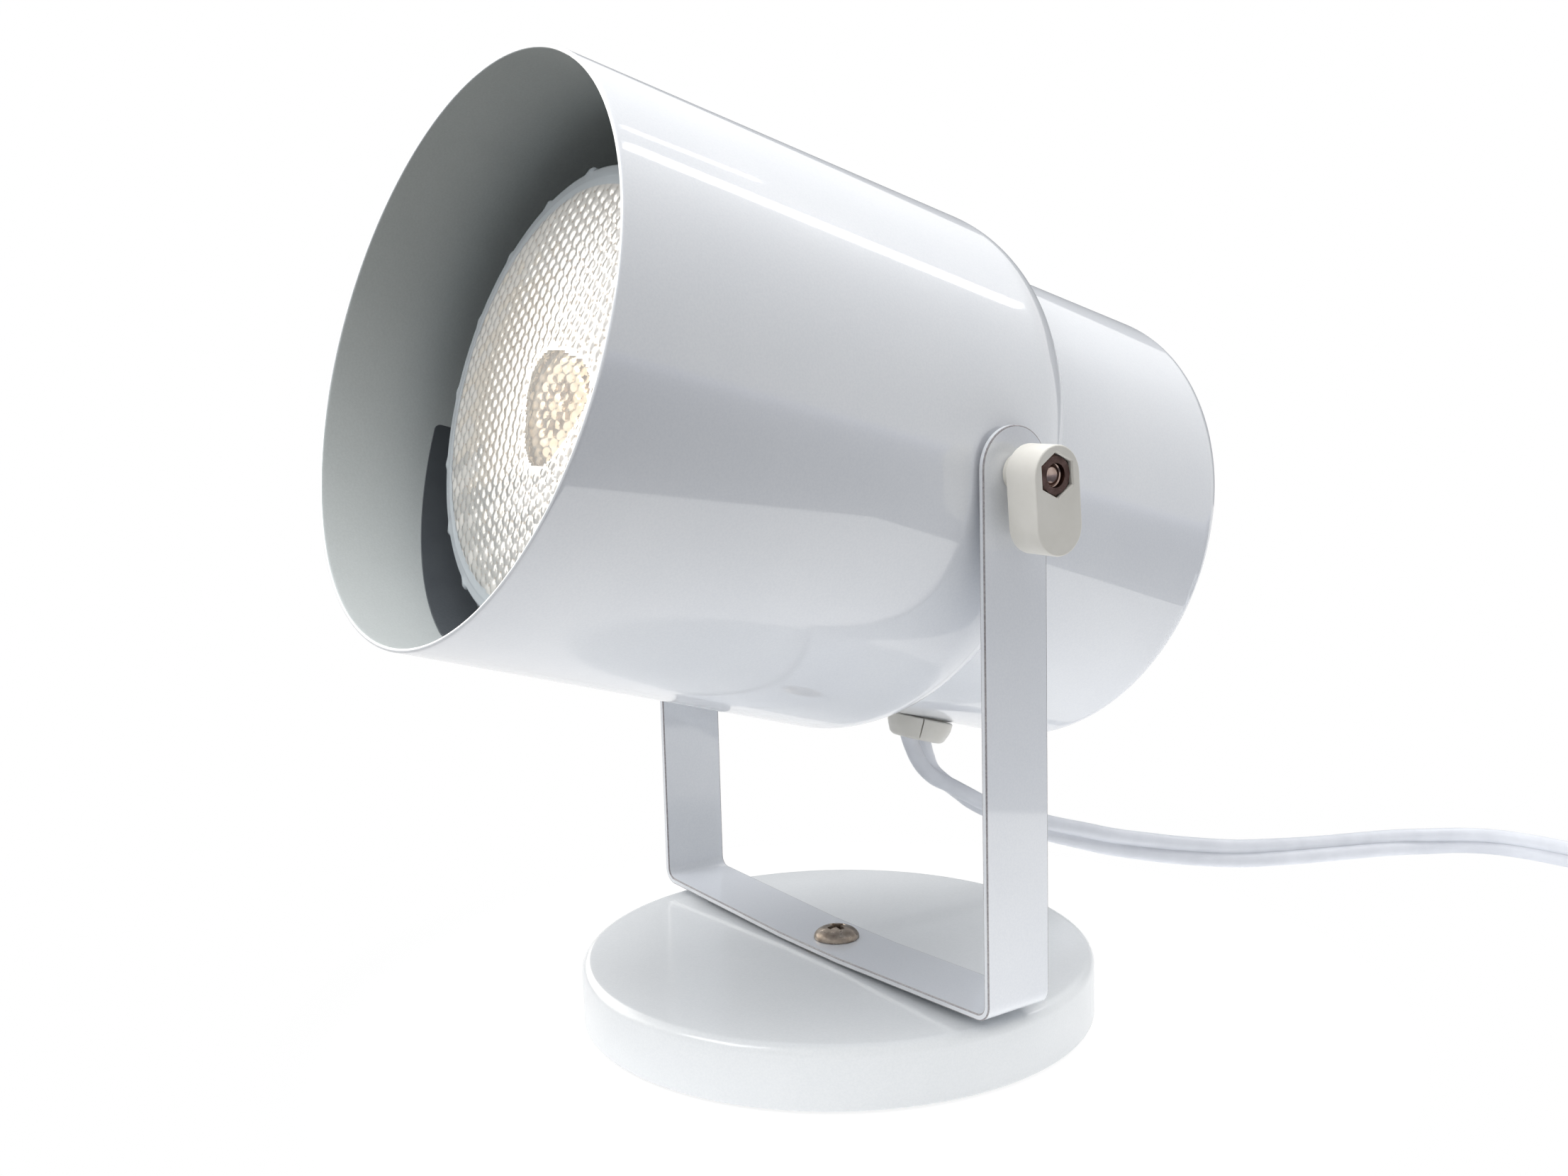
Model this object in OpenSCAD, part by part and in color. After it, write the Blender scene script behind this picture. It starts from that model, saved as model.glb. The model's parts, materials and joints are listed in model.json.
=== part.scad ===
// Landscape spotlight: a weighted round base, a bent strip yoke, a tilting hood with its reflector lamp,
// two clamping knobs and a flat twin-lead cord that ends in a two-blade plug.
// Millimetres. +Z is up, the floor is z = 0, the base stands centred on the origin, light goes towards -Y.

/* [Base] */
// Diameter of the round base
base_d = 127; // [112:1:150]
// Height of the base's top face above the floor
base_h = 15; // [14:0.5:24]
// Sheet thickness of the base pan
base_wall = 1.2; // [0.8:0.1:2]
// Outer radius of the pan's rounded top edge
base_edge_r = 2.4; // [2.2:0.2:5]
// Height of the pan's open rim above the floor
rim_lift = 0.4; // [0.2:0.1:1.2]
// Thickness of the pad under the base
pad_t = 2; // [1.4:0.2:2.6]
// Gap between the weight and the pan's side wall
weight_gap = 3; // [1:0.5:6]
// Iron left between the pan and the nut's pocket
weight_seat = 4; // [3:0.5:5]

/* [Swivel screw] */
// Shank diameter of the swivel screw
screw_d = 5; // [4:0.5:6]
// Diameter of the screw's domed head
screw_head_d = 11.3; // [9:0.1:13]
// Height of the screw's domed head
screw_head_h = 3; // [2.4:0.1:4]
// Width across the flats of the hexagon nuts
nut_af = 8; // [7.5:0.5:10]
// Thickness of the hexagon nuts
nut_h = 4; // [3:0.5:4.5]
// Outside diameter of the spring washer under the base
lock_washer_d = 9.2; // [8:0.2:11]
// Thickness of the spring washer under the base
lock_washer_t = 1.2; // [0.8:0.1:1.6]
// Outside diameter of the washer between base and yoke
swivel_washer_d = 16; // [10:1:22]
// Thickness of the washer between base and yoke
swivel_washer_t = 0.5; // [0.3:0.1:1]
// Radial clearance of the turning fits
run_clear = 0.08; // [0.03:0.01:0.1]

/* [Yoke] */
// Width of the yoke's strip
strip_w = 18; // [15:0.5:22]
// Thickness of the yoke's strip
strip_t = 1.5; // [1:0.1:2.5]
// Inside radius of the yoke's two bends
bend_r = 2.5; // [1.5:0.5:6]
// Length of the flat middle of the web, under the screw
web_flat = 24; // [16:1:40]
// How far the web's ends stand higher than its middle
web_rise = 1.7; // [0.4:0.1:4]
// Height of the tilt axis above the underside of the web
pivot_h = 121; // [112:1:150]
// Height of the leg tops above the tilt axis
leg_over = 10; // [9:0.5:14]

/* [Hood] */
// Upward tilt of the lamp's axis as it stands
tilt = 17; // [0:1:40]
// Outside diameter of the hood
hood_d = 128; // [122:1:136]
// Sheet thickness of the hood
hood_wall = 1; // [0.6:0.1:1.5]
// Distance from the tilt axis forward to the hood's mouth
mouth_reach = 100; // [90:1:104]
// Distance from the tilt axis back to where the shoulder starts
shoulder_back = 6.4; // [4:0.2:12]
// Radius of the rounded shoulder
shoulder_r = 20; // [16:1:24]
// Length of the hood's collar inside the rear can
collar_l = 9; // [5:0.5:14]

/* [Rear can] */
// Outside diameter of the rear can
can_d = 112.6; // [104:0.2:116]
// Sheet thickness of the rear can
can_wall = 1; // [0.6:0.1:1.5]
// Distance from the tilt axis back to the can's end
can_end = 79; // [74:1:92]
// Outer radius of the can's rounded end
can_edge_r = 6; // [3:0.5:12]
// Clearance of pieces that are pressed or slipped together
slip_clear = 0.05; // [0.02:0.01:0.1]

/* [Plate] */
// Blank plate: distance of its front edge from the hood's mouth
plate_in = 24.5; // [20:0.5:30]
// Blank plate: height along the hood
plate_h = 13; // [8:1:20]
// Blank plate: angle that it spans round the hood
plate_sweep = 62; // [30:1:90]
// Blank plate: angle at which it starts, from the right-hand side
plate_start = 190; // [170:1:220]
// Blank plate: thickness
plate_t = 0.3; // [0.2:0.1:0.5]

/* [Lamp] */
// Diameter of the reflector lamp
lamp_d = 102.2; // [90:0.2:112]
// Distance from the tilt axis forward to the lamp's seam
lamp_rim = 71.5; // [66:0.5:80]
// Height of the lamp's rim band
rim_h = 5; // [3:0.5:8]
// Rise of the domed lens above the rim band
lens_rise = 4; // [2:0.5:6]
// Thickness of the lens
lens_t = 2.4; // [1.6:0.2:3]
// Thickness of the reflector's glass
glass_t = 2; // [1.4:0.2:3]
// Overall length of the lamp
lamp_l = 108; // [100:1:118]
// How far the lamp's axis lies below the hood's axis
lamp_drop = 3.2; // [0:0.2:5]
// Diameter of the lamp's neck
neck_d = 38; // [32:1:44]
// Diameter of the lamp's screw cap
cap_d = 26; // [24:0.5:28]
// Length of the screw cap with its contact
cap_l = 25; // [22:0.5:28]
// Diameter of the burner capsule
burner_d = 12; // [8:1:16]
// Length of the burner capsule
burner_l = 30; // [20:1:36]

/* [Lamp holder] */
// Diameter of the lamp holder
holder_d = 40; // [38:1:48]
// Length of the lamp holder
holder_l = 38; // [36:1:44]
// Thickness of the holder's screw shell
shell_t = 0.6; // [0.4:0.1:1]
// Clearance between the lamp's cap and the screw shell
cap_clear = 0.25; // [0.15:0.05:0.5]
// Thickness of the holder's centre contact
contact_t = 0.8; // [0.5:0.1:1.2]
// Width of the bracket's strip
bracket_w = 14; // [10:1:18]
// Thickness of the bracket's strip
bracket_t = 1.2; // [0.8:0.1:2]
// Distance between the outsides of the bracket's legs
bracket_span = 44; // [36:1:56]
// Length of each of the bracket's feet
foot_l = 12; // [10:0.5:16]
// Shank diameter of the small screws
small_d = 3.5; // [3:0.5:4]
// Head diameter of the small screws
small_head_d = 6.8; // [6:0.2:7.6]
// Head height of the small screws
small_head_h = 2.2; // [1.6:0.2:2.6]

/* [Pivots] */
// Shank diameter of the pivot bolts
bolt_d = 5; // [4:0.5:6]
// Head diameter of the pivot bolts
bolt_head_d = 11; // [9:0.5:13]
// Head height of the pivot bolts
bolt_head_h = 2.6; // [2:0.1:4]
// Outside diameter of the washers between hood and yoke
pivot_washer_d = 14; // [10:0.5:17]
// Thickness of the washers between hood and yoke
pivot_washer_t = 0.5; // [0.3:0.1:1]

/* [Knobs] */
// Width of the knob
knob_w = 13; // [12:0.5:16]
// Distance from the bolt to the knob's lower end
knob_drop = 16.8; // [12:0.2:24]
// Length of the knob out from the yoke
knob_l = 12.5; // [11:0.5:20]
// Length of the knob's round hub next to the yoke
hub_l = 4.5; // [2:0.5:5.5]
// Diameter of the knob's round hub
hub_d = 8.4; // [7.6:0.2:12]
// Depth of the nut's face inside the knob
nut_sink = 0.6; // [0.2:0.1:1.6]
// How far the knob's lower end leans back
knob_lean = 4; // [0:1:20]
// How far screws and bolts stand out of their nuts
bolt_proud = 0.4; // [0.2:0.1:1.2]
// Depth of the pivot bolts' ends inside their nuts
bolt_sink = 0.5; // [0.2:0.1:1]

/* [Cord] */
// Distance from the tilt axis back to the cord bushing
bush_back = 47; // [42:0.5:56]
// Diameter of the bushing's head
bush_d = 16.6; // [15:0.2:20]
// Diameter of the flat end of the bushing's head
bush_nose_d = 11; // [9:0.2:14]
// Height of the bushing's head below the can
bush_h = 5.6; // [4:0.2:8]
// Length of the bushing inside the can
bush_in = 14.4; // [10:0.2:18]
// Width of the flat twin cord
cord_w = 8; // [6.4:0.2:8.4]
// Thickness of the flat twin cord
cord_t = 4; // [3.2:0.1:4.2]
// Gap between the two insulated leads inside the can
lead_gap = 0.6; // [0.4:0.1:1]
// Turns in the coil of spare cord
coil_turns = 6; // [4:2:8]
// Radius of the coil's innermost turn
coil_in_r = 31; // [28:0.2:34]
// Gap between turns that lie beside each other
coil_side_gap = 1.5; // [1.3:0.1:2]
// Gap between the two layers of turns
coil_layer_gap = 0.8; // [0.6:0.1:1.4]
// Thickness of the tie round the coil
tie_t = 0.6; // [0.4:0.1:1]
// Width of the tie round the coil
tie_w = 6; // [3:0.5:12]

/* [Plug] */
// Width of the plug's body
plug_w = 24; // [22:0.5:28]
// Thickness of the plug's body
plug_t = 14; // [12:0.5:17]
// Length of the plug's body with its tail
plug_l = 36; // [30:1:44]
// Width of the plug's tail where the cord goes in
plug_tail_w = 11; // [10:0.5:14]
// Length of the plug's blades
blade_l = 17; // [15:0.5:18]
// Width of the plug's blades
blade_w = 6.4; // [6:0.1:8]
// Thickness of the plug's blades
blade_t = 1.5; // [1.2:0.1:1.8]
// Distance between the plug's blades
blade_pitch = 12.7; // [12:0.1:13.4]

/* [Hidden] */
$fn = 96;
// Overlap of cutting shapes past the faces that they cut
cut = 1;
// Gap between flat faces of pieces on different bodies
face_gap = 0.05;

// Heights
weight_top = base_h - base_wall;
pocket_top = weight_top - weight_seat;
nut_top = pocket_top - lock_washer_t;
screw_end = nut_top - nut_h - bolt_proud;
web_z = base_h + swivel_washer_t + 2*face_gap;
web_top = web_z + strip_t;
pivot_z = web_z + pivot_h;
nut_r = nut_af/sqrt(3);
nut_play = 0.15;

// Yoke, across
hood_r = hood_d/2;
yoke_in = hood_r + pivot_washer_t + 2*face_gap;
yoke_out = yoke_in + strip_t;
leg_x = yoke_in + strip_t/2;
mid_bend_r = bend_r + strip_t/2;
web_slope = atan(web_rise/(leg_x - mid_bend_r - web_flat/2));

// Head, measured forward along the lamp's axis from the tilt axis
can_r = can_d/2;
can_in_r = can_r - can_wall;
arc_r = hood_r - shoulder_r;
meet_z = -shoulder_back - sqrt(pow(shoulder_r, 2) - pow(can_r - arc_r, 2));
collar_r = can_in_r - slip_clear;
plate_z = mouth_reach - plate_in - plate_h;
lamp_r = lamp_d/2;
rim_front = lamp_rim + rim_h/2;
rim_back = lamp_rim - rim_h/2;
dome_r = lamp_r - 2.6;
lens_ball = (dome_r*dome_r + lens_rise*lens_rise)/(2*lens_rise);
lamp_tip = rim_front + lens_rise - lamp_l;
cap_front = lamp_tip + cap_l;
skirt_l = 8;
neck_front = cap_front + skirt_l + 12;
contact_button_h = 2;
insulator_h = 4;
holder_gap = 1.5;
holder_front = cap_front - holder_gap;
holder_back = holder_front - holder_l;
shell_r = cap_d/2 + cap_clear + shell_t;
holder_floor = lamp_tip - 2*face_gap - contact_t;
can_floor = -can_end + can_wall;
bracket_leg_x = bracket_span/2;
foot_screw_x = bracket_leg_x + foot_l/2;
small_clear = 0.1;
small_nut_af = 5.5;
small_nut_h = 2.4;
terminal_x = 9;
terminal_y = -13;
screw_bite = 7.5;
hole_deep = screw_bite + 0.5;
shell_recess = 1;
shell_lift = 3;

// Pivots, measured outward along the tilt axis
hood_in_r = hood_r - hood_wall;
bolt_seat = sqrt(pow(hood_in_r, 2) - pow(bolt_head_d/2, 2)) - face_gap;
knob_start = yoke_out + face_gap;
knob_face = knob_start + knob_l;
nut_face = knob_face - nut_sink;
bolt_end = nut_face - bolt_sink;

// Cord bushing, measured outward from the lamp's axis
bush_neck_r = 6.25;
bush_hole_r = bush_neck_r + slip_clear*2;
bush_lip_r = 7;
bush_seat = can_r + face_gap;
bush_out = bush_seat + bush_h;
bush_lip = sqrt(pow(can_in_r, 2) - pow(bush_lip_r, 2)) - face_gap;
bush_tip = bush_seat - bush_in;
lead_pitch = cord_w - cord_t;
lead_d = lead_pitch - lead_gap;
terminal_h = lead_d + 2*face_gap;

// Where the cord leaves the bushing, and the way that the bushing points
cord_exit = [0, bush_back*cos(tilt) - bush_out*sin(tilt), pivot_z - bush_back*sin(tilt) - bush_out*cos(tilt)];
bush_way = [0, -sin(tilt), -cos(tilt)];

// Cord route after the bushing: a point on its middle line, and the way that one of its edges faces
cord_points = [
    [[0, 28.1, 60], [-0.24, 0.89, 0.39]],
    [[0, 29.9, 56.7], [-0.51, 0.71, 0.48]],
    [[0, 32.3, 53.7], [-0.8, 0.41, 0.43]],
    [[0, 35.7, 51.1], [-0.96, 0.16, 0.22]],
    [[0, 42.6, 46.4], [-1, 0, 0]],
    [[0, 48.6, 42.5], [-0.97, -0.1, -0.2]],
    [[0.4, 59.9, 37], [-0.85, -0.2, -0.5]],
    [[1.2, 71.2, 32], [-0.62, -0.22, -0.75]],
    [[3, 82.7, 28], [-0.44, -0.22, -0.87]],
    [[4.9, 92.2, 24.8], [-0.3, -0.22, -0.93]],
    [[7.3, 102.6, 22], [-0.13, -0.22, -0.97]],
    [[10.3, 114.2, 19.2], [0.04, -0.22, -0.97]],
    [[14.2, 132, 15.6], [0.26, -0.2, -0.94]],
    [[16.1, 149.5, 13], [0.43, -0.16, -0.89]],
    [[17.2, 168, 10.5], [0.54, -0.14, -0.83]],
    [[18.2, 189, 7.9], [0.5, -0.14, -0.85]],
    [[19.5, 203, 6.2], [0.35, -0.1, -0.93]],
    [[21.8, 214.4, 4.8], [0.15, 0, -1]],
    [[26.5, 224.5, 4.2], [0, 0, -1]],
    [[34.5, 231, 4.2], [0, 0, -1]],
    [[46, 234, 4.4], [0, 0, -1]],
    [[61, 234.5, 4.8], [0, 0, -1]],
    [[76, 234.5, 5.1], [0, 0, -1]]];
// Which of these points is the first that lies on the floor
floor_point = 19;

// Coil of spare cord, beside the place where the cord leaves the lamp's surroundings
coil_x = 98;
coil_y = 282;
tie_gap = 0.3;
coil_rings = 24;
coil_pitch = cord_t + coil_side_gap;
coil_out_r = coil_in_r + coil_pitch*coil_turns/2;
coil_z = cord_w/2 + tie_t + 2*tie_gap;
coil_top_z = coil_z + cord_w + coil_layer_gap;
coil_mid = 180*coil_turns;
coil_start_angle = -90;
tail_turn = 75;
tail_rings = 8;
tail_out = 14;
plug_z = plug_t/2 + tie_gap;
plug_shoulder = plug_l*0.42;
plug_bevel = 4;
blade_sink = 8;
blade_hole_d = 3.2;
blade_hole_in = 4.5;
lead_in = [coil_x - cord_w, coil_y - coil_out_r, coil_z];

// Small vector helpers
function unit(v) = v/norm(v);
function across(v, t) = unit(v - (v*t)*t);
function ease(u) = u <= 0 ? 0 : u >= 1 ? 1 : u*u*(3 - 2*u);
function flip(list) = [for (i = [len(list) - 1:-1:0]) list[i]];

// Middle line of a bent strip moved sideways by d, mitred at each corner
function strip_normal(a, b) = unit([a[1] - b[1], b[0] - a[0]]);
function strip_side(line, d) = [for (i = [0:len(line) - 1])
    let (n0 = strip_normal(line[max(i - 1, 0)], line[max(i, 1)]),
         n1 = strip_normal(line[min(i, len(line) - 2)], line[min(i + 1, len(line) - 1)]))
    line[i] + d*(n0 + n1)/(1 + n0*n1)];

// Outline of the flat twin cord: two round lobes with a groove between them
function twin_section(w, t) = let (r = t/2, c = w/2 - r, half = [[c + r, 0],
        [c + r*cos(48), r*sin(48)], [c + r*cos(100), r*sin(100)], [0, 0.66*r],
        [-c - r*cos(100), r*sin(100)], [-c - r*cos(48), r*sin(48)]])
    concat(half, [for (p = half) -p]);
// The same cord with six flat sides, for the coil
function coil_section(w, t) = [[w/2, 0], [w/4, t/2], [-w/4, t/2], [-w/2, 0], [-w/4, -t/2], [w/4, -t/2]];
function round_section(d, sides) = [for (i = [0:sides - 1]) d/2*[cos(360*i/sides), sin(360*i/sides)]];

// One ring of a swept tube: middle point p, direction t, and e towards the section's first side
function tube_ring(p, t, e, section) = let (a = across(e, t), b = cross(t, a))
    [for (s = section) p + s[0]*a + s[1]*b];
function way_at(points, i) = unit(points[min(i + 1, len(points) - 1)] - points[max(i - 1, 0)]);

// A closed tube through rings of equally many points, all faces triangles
module tube(rings) {
    n = len(rings[0]);
    last = n*(len(rings) - 1);
    sides = [for (i = [0:len(rings) - 2], j = [0:n - 1], half = [0, 1])
        let (p = i*n + j, q = i*n + (j + 1)%n) half == 0 ? [p, p + n, q + n] : [p, q + n, q]];
    lid = concat([for (k = [0:n/2 - 2]) [k, k + 1, n - k - 1]],
        [for (k = [1:n/2 - 1]) [k, n - k - 1, n - k]]);
    far_lid = [for (f = lid) [last + f[2], last + f[1], last + f[0]]];
    polyhedron(points = [for (r = rings) each r], faces = concat(sides, lid, far_lid));
}

// Puts a piece drawn along the lamp's axis, z forward and y up, into its tilted place
module on_head() { translate([0, 0, pivot_z]) rotate([90 - tilt, 0, 0]) children(); }

// The same for the lamp and its holder, which lie a little lower than the hood's axis
module on_lamp() { on_head() translate([0, -lamp_drop, 0]) children(); }

// Keeps a piece on the right for side 1 and mirrors it to the left for side -1
module on_side(side) { mirror([side > 0 ? 0 : 1, 0, 0]) children(); }

// Puts a piece drawn along z, with x downwards, on the tilt axis, leaning back by lean
module on_pivot(side, lean = 0) {
    on_side(side) translate([0, 0, pivot_z]) rotate([0, 90, 0]) rotate([0, 0, lean]) children();
}

module ring_disc(d, bore, h) {
    difference() {
        cylinder(d = d, h = h);
        translate([0, 0, -cut]) cylinder(r = bore, h = h + 2*cut);
    }
}

// Low domed head standing on z = 0
module dome_head(d, h) {
    ball = (d*d/4 + h*h)/(2*h);
    rotate_extrude() intersection() {
        translate([0, h - ball]) circle(ball);
        square([d/2, h]);
    }
}

module hex_nut(af, h, bore) {
    difference() {
        cylinder(r = af/sqrt(3), h = h, $fn = 6);
        translate([0, 0, -cut]) cylinder(r = bore, h = h + 2*cut);
    }
}

// Cross recess cut down from z = 0
module cross_recess(w, arm, deep) {
    for (a = [0, 90]) rotate([0, 0, a]) translate([-w/2, -arm/2, -deep]) cube([w, arm, deep + cut]);
}

// Half section of a pan: filled below a top edge of radius e
module pan_fill(r, top, e) {
    square([r, top - e]);
    square([r - e, top]);
    translate([r - e, top - e]) circle(e);
}

module base_pan() {
    color("whitesmoke") difference() {
        rotate_extrude() difference() {
            pan_fill(base_d/2, base_h, base_edge_r);
            translate([0, -cut]) pan_fill(base_d/2 - base_wall, weight_top + cut, base_edge_r - base_wall);
            translate([0, -cut]) square([base_d/2 + cut, rim_lift + cut]);
        }
        cylinder(r = screw_d/2 + slip_clear, h = base_h + cut);
    }
}

module base_weight() {
    color("dimgray") difference() {
        translate([0, 0, pad_t]) cylinder(r = base_d/2 - base_wall - weight_gap, h = weight_top - pad_t);
        cylinder(r = screw_d/2 + slip_clear, h = base_h);
        translate([0, 0, pad_t - cut]) cylinder(r = nut_r + 2.4, h = pocket_top - pad_t + cut);
    }
}

module base_pad() {
    color("darkslategray") cylinder(r = base_d/2 - base_wall - weight_gap/2, h = pad_t);
}

module swivel_screw() {
    head_z = web_top + face_gap;
    color("rosybrown") difference() {
        union() {
            translate([0, 0, head_z]) dome_head(screw_head_d, screw_head_h);
            translate([0, 0, screw_end]) cylinder(d = screw_d, h = head_z - screw_end + cut/2);
        }
        translate([0, 0, head_z + screw_head_h]) cross_recess(5.4, 1.1, 1.8);
    }
}

module swivel_nut() {
    color("silver") translate([0, 0, nut_top - nut_h]) hex_nut(nut_af, nut_h, screw_d/2 + slip_clear);
}

module swivel_lock_washer() {
    color("silver") translate([0, 0, nut_top])
        ring_disc(lock_washer_d, screw_d/2 + slip_clear, lock_washer_t);
}

module swivel_washer() {
    color("tan") translate([0, 0, base_h + face_gap])
        ring_disc(swivel_washer_d, screw_d/2 + slip_clear, swivel_washer_t);
}

module yoke() {
    mid_z = web_z + strip_t/2;
    leg_top = pivot_z + leg_over;
    bend_x = leg_x - mid_bend_r;
    bend_z = mid_z + tan(web_slope)*(bend_x + mid_bend_r*sin(web_slope) - web_flat/2)
        + mid_bend_r*cos(web_slope);
    bend = [for (i = [0:6]) let (b = web_slope + (90 - web_slope)*i/6)
        [bend_x + mid_bend_r*sin(b), bend_z - mid_bend_r*cos(b)]];
    half = concat([[web_flat/2, mid_z]], bend, [[leg_x, leg_top]]);
    line = concat(flip([for (p = half) [-p[0], p[1]]]), half);
    color("whitesmoke") difference() {
        intersection() {
            rotate([90, 0, 0]) linear_extrude(strip_w, center = true)
                polygon(concat(strip_side(line, strip_t/2), flip(strip_side(line, -strip_t/2))));
            union() {
                translate([-hood_d, -strip_w/2, 0]) cube([2*hood_d, strip_w, leg_top - strip_w/2]);
                translate([-hood_d, 0, leg_top - strip_w/2]) rotate([0, 90, 0])
                    cylinder(d = strip_w, h = 2*hood_d);
            }
        }
        translate([-hood_d, 0, pivot_z]) rotate([0, 90, 0]) cylinder(r = bolt_d/2 + run_clear, h = 2*hood_d);
        cylinder(r = screw_d/2 + run_clear, h = web_top + cut);
    }
}

// Half section filled inside a hood of radius r whose rear edge is rounded by e
module hood_fill(r, e, front, back) {
    translate([0, -shoulder_back]) square([r, front + shoulder_back]);
    intersection() {
        union() {
            translate([r - e, -shoulder_back]) circle(e);
            translate([0, -shoulder_back - e]) square([r - e, e]);
        }
        translate([0, back]) square([r, -shoulder_back - back]);
    }
}

module hood() {
    neck = bolt_d + 2*slip_clear;
    color("whitesmoke") on_head() difference() {
        rotate_extrude() {
            difference() {
                hood_fill(hood_r, shoulder_r, mouth_reach, meet_z);
                hood_fill(hood_in_r, shoulder_r - hood_wall, mouth_reach + cut, meet_z - cut);
            }
            translate([collar_r - hood_wall, meet_z - collar_l]) square([hood_wall, collar_l + hood_wall]);
            intersection() {
                hood_fill(hood_r, shoulder_r, mouth_reach, meet_z);
                translate([collar_r - hood_wall, meet_z]) square([hood_r, hood_wall]);
            }
        }
        cube([2*hood_d, neck, neck], center = true);
    }
}

// Half section filled inside a can of radius r with a rounded end
module can_fill(r, end, e, front) {
    translate([0, end + e]) square([r, front - end - e]);
    translate([0, end]) square([r - e, e]);
    translate([r - e, end + e]) circle(e);
}

module rear_can() {
    color("whitesmoke") on_head() difference() {
        rotate_extrude() difference() {
            can_fill(can_r, -can_end, can_edge_r, meet_z);
            can_fill(can_in_r, can_floor, can_edge_r - can_wall, meet_z + cut);
        }
        translate([0, 0, -bush_back]) rotate([90, 0, 0]) cylinder(r = bush_hole_r, h = can_d);
        for (s = [-1, 1]) translate([s*foot_screw_x, -lamp_drop, -can_end - cut])
            cylinder(r = small_d/2 + small_clear, h = can_wall + 2*cut);
    }
}

module blank_plate() {
    color("slategray") on_head() rotate([0, 0, plate_start]) rotate_extrude(angle = plate_sweep)
        translate([hood_in_r - face_gap - plate_t, plate_z]) square([plate_t, plate_h]);
}

module lamp_reflector() {
    steps = 10;
    neck_r = neck_d/2;
    outer = [for (i = [0:steps]) let (u = i/steps)
        [neck_r + (lamp_r - 1.6 - neck_r)*sqrt(u), neck_front + (rim_back - neck_front)*u]];
    wall = concat([[neck_r, cap_front + skirt_l]], outer);
    color("silver") on_lamp() rotate_extrude() {
        polygon(concat(wall, flip([for (p = wall) p - [glass_t, 0]])));
        translate([lamp_r - 1.6 - glass_t, rim_back]) square([1.6 + glass_t, rim_h/2]);
    }
}

// Half section of the lens's dome, lowered by drop
module dome_fill(r, drop) {
    intersection() {
        translate([0, rim_front + lens_rise - drop - lens_ball]) circle(lens_ball);
        translate([0, lamp_rim - cut]) square([r, rim_h + lens_rise]);
    }
}

module lamp_lens() {
    color("lightblue", 0.6) on_lamp() rotate_extrude() intersection() {
        difference() {
            union() {
                dome_fill(dome_r, 0);
                translate([0, lamp_rim]) square([lamp_r, rim_h/2]);
            }
            dome_fill(dome_r - lens_t, lens_t);
        }
        translate([0, lamp_rim]) square([lamp_r, rim_h + lens_rise]);
    }
}

module lamp_burner() {
    foot = cap_front + skirt_l;
    top = neck_front + burner_l;
    color("lightyellow", 0.7) on_lamp() {
        translate([0, 0, foot]) cylinder(d = burner_d/2, h = neck_front - foot + cut);
        translate([0, 0, neck_front]) cylinder(d = burner_d, h = burner_l - burner_d/2);
        translate([0, 0, top - burner_d/2]) sphere(d = burner_d);
    }
}

module lamp_cap() {
    thread_end = lamp_tip + contact_button_h + insulator_h;
    wall = 1;
    color("goldenrod") on_lamp() rotate_extrude() difference() {
        polygon([[0, cap_front + skirt_l], [neck_d/2, cap_front + skirt_l], [neck_d/2, cap_front + skirt_l/2],
            [cap_d/2, cap_front], [cap_d/2, thread_end], [0, thread_end]]);
        translate([0, thread_end - cut]) square([cap_d/2 - wall, cap_front - thread_end + cut]);
    }
}

module lamp_insulator() {
    thread_end = lamp_tip + contact_button_h + insulator_h;
    color("black") on_lamp() translate([0, 0, lamp_tip + contact_button_h])
        cylinder(d1 = cap_d*0.46, d2 = cap_d - 2.4, h = thread_end - lamp_tip - contact_button_h);
}

module lamp_contact() {
    color("silver") on_lamp() translate([0, 0, lamp_tip]) cylinder(d1 = 6, d2 = 10, h = contact_button_h);
}

module holder_body() {
    color("ivory") on_lamp() difference() {
        translate([0, 0, holder_back]) cylinder(d = holder_d, h = holder_l);
        translate([0, 0, holder_floor]) cylinder(r = shell_r + slip_clear, h = holder_l);
        translate([0, 0, holder_back - cut]) cylinder(r = small_d/2 + slip_clear, h = hole_deep + cut);
        for (s = [-1, 1]) translate([s*terminal_x, terminal_y, holder_back - cut])
            cylinder(r = small_d/2 + slip_clear, h = hole_deep + cut);
    }
}

module holder_shell() {
    shell_floor = holder_floor + contact_t + shell_lift;
    color("gold") on_lamp() translate([0, 0, shell_floor])
        ring_disc(2*shell_r, cap_d/2 + cap_clear, holder_front - shell_recess - shell_floor);
}

module holder_contact() {
    color("gold") on_lamp() translate([0, 0, holder_floor]) cylinder(d = 12, h = contact_t);
}

module holder_bracket() {
    web = holder_back - bracket_t;
    color("silver") on_lamp() difference() {
        union() {
            translate([-bracket_leg_x, -bracket_w/2, web]) cube([bracket_span, bracket_w, bracket_t]);
            for (s = [0, 1]) mirror([s, 0, 0]) {
                translate([bracket_leg_x - bracket_t, -bracket_w/2, can_floor])
                    cube([bracket_t, bracket_w, web + bracket_t - can_floor]);
                translate([bracket_leg_x - bracket_t, -bracket_w/2, can_floor])
                    cube([foot_l + bracket_t, bracket_w, bracket_t]);
            }
        }
        translate([0, 0, web - cut]) cylinder(r = small_d/2 + small_clear, h = bracket_t + 2*cut);
        for (s = [-1, 1]) translate([s*foot_screw_x, 0, can_floor - cut])
            cylinder(r = small_d/2 + small_clear, h = bracket_t + 2*cut);
    }
}

// Pan-head screw: head outward along -z from z = 0, shank into +z
module small_screw(l) {
    difference() {
        union() {
            cylinder(d = small_d, h = l);
            mirror([0, 0, 1]) dome_head(small_head_d, small_head_h);
        }
        mirror([0, 0, 1]) translate([0, 0, small_head_h]) cross_recess(3.4, 0.8, 1.1);
    }
}

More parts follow.
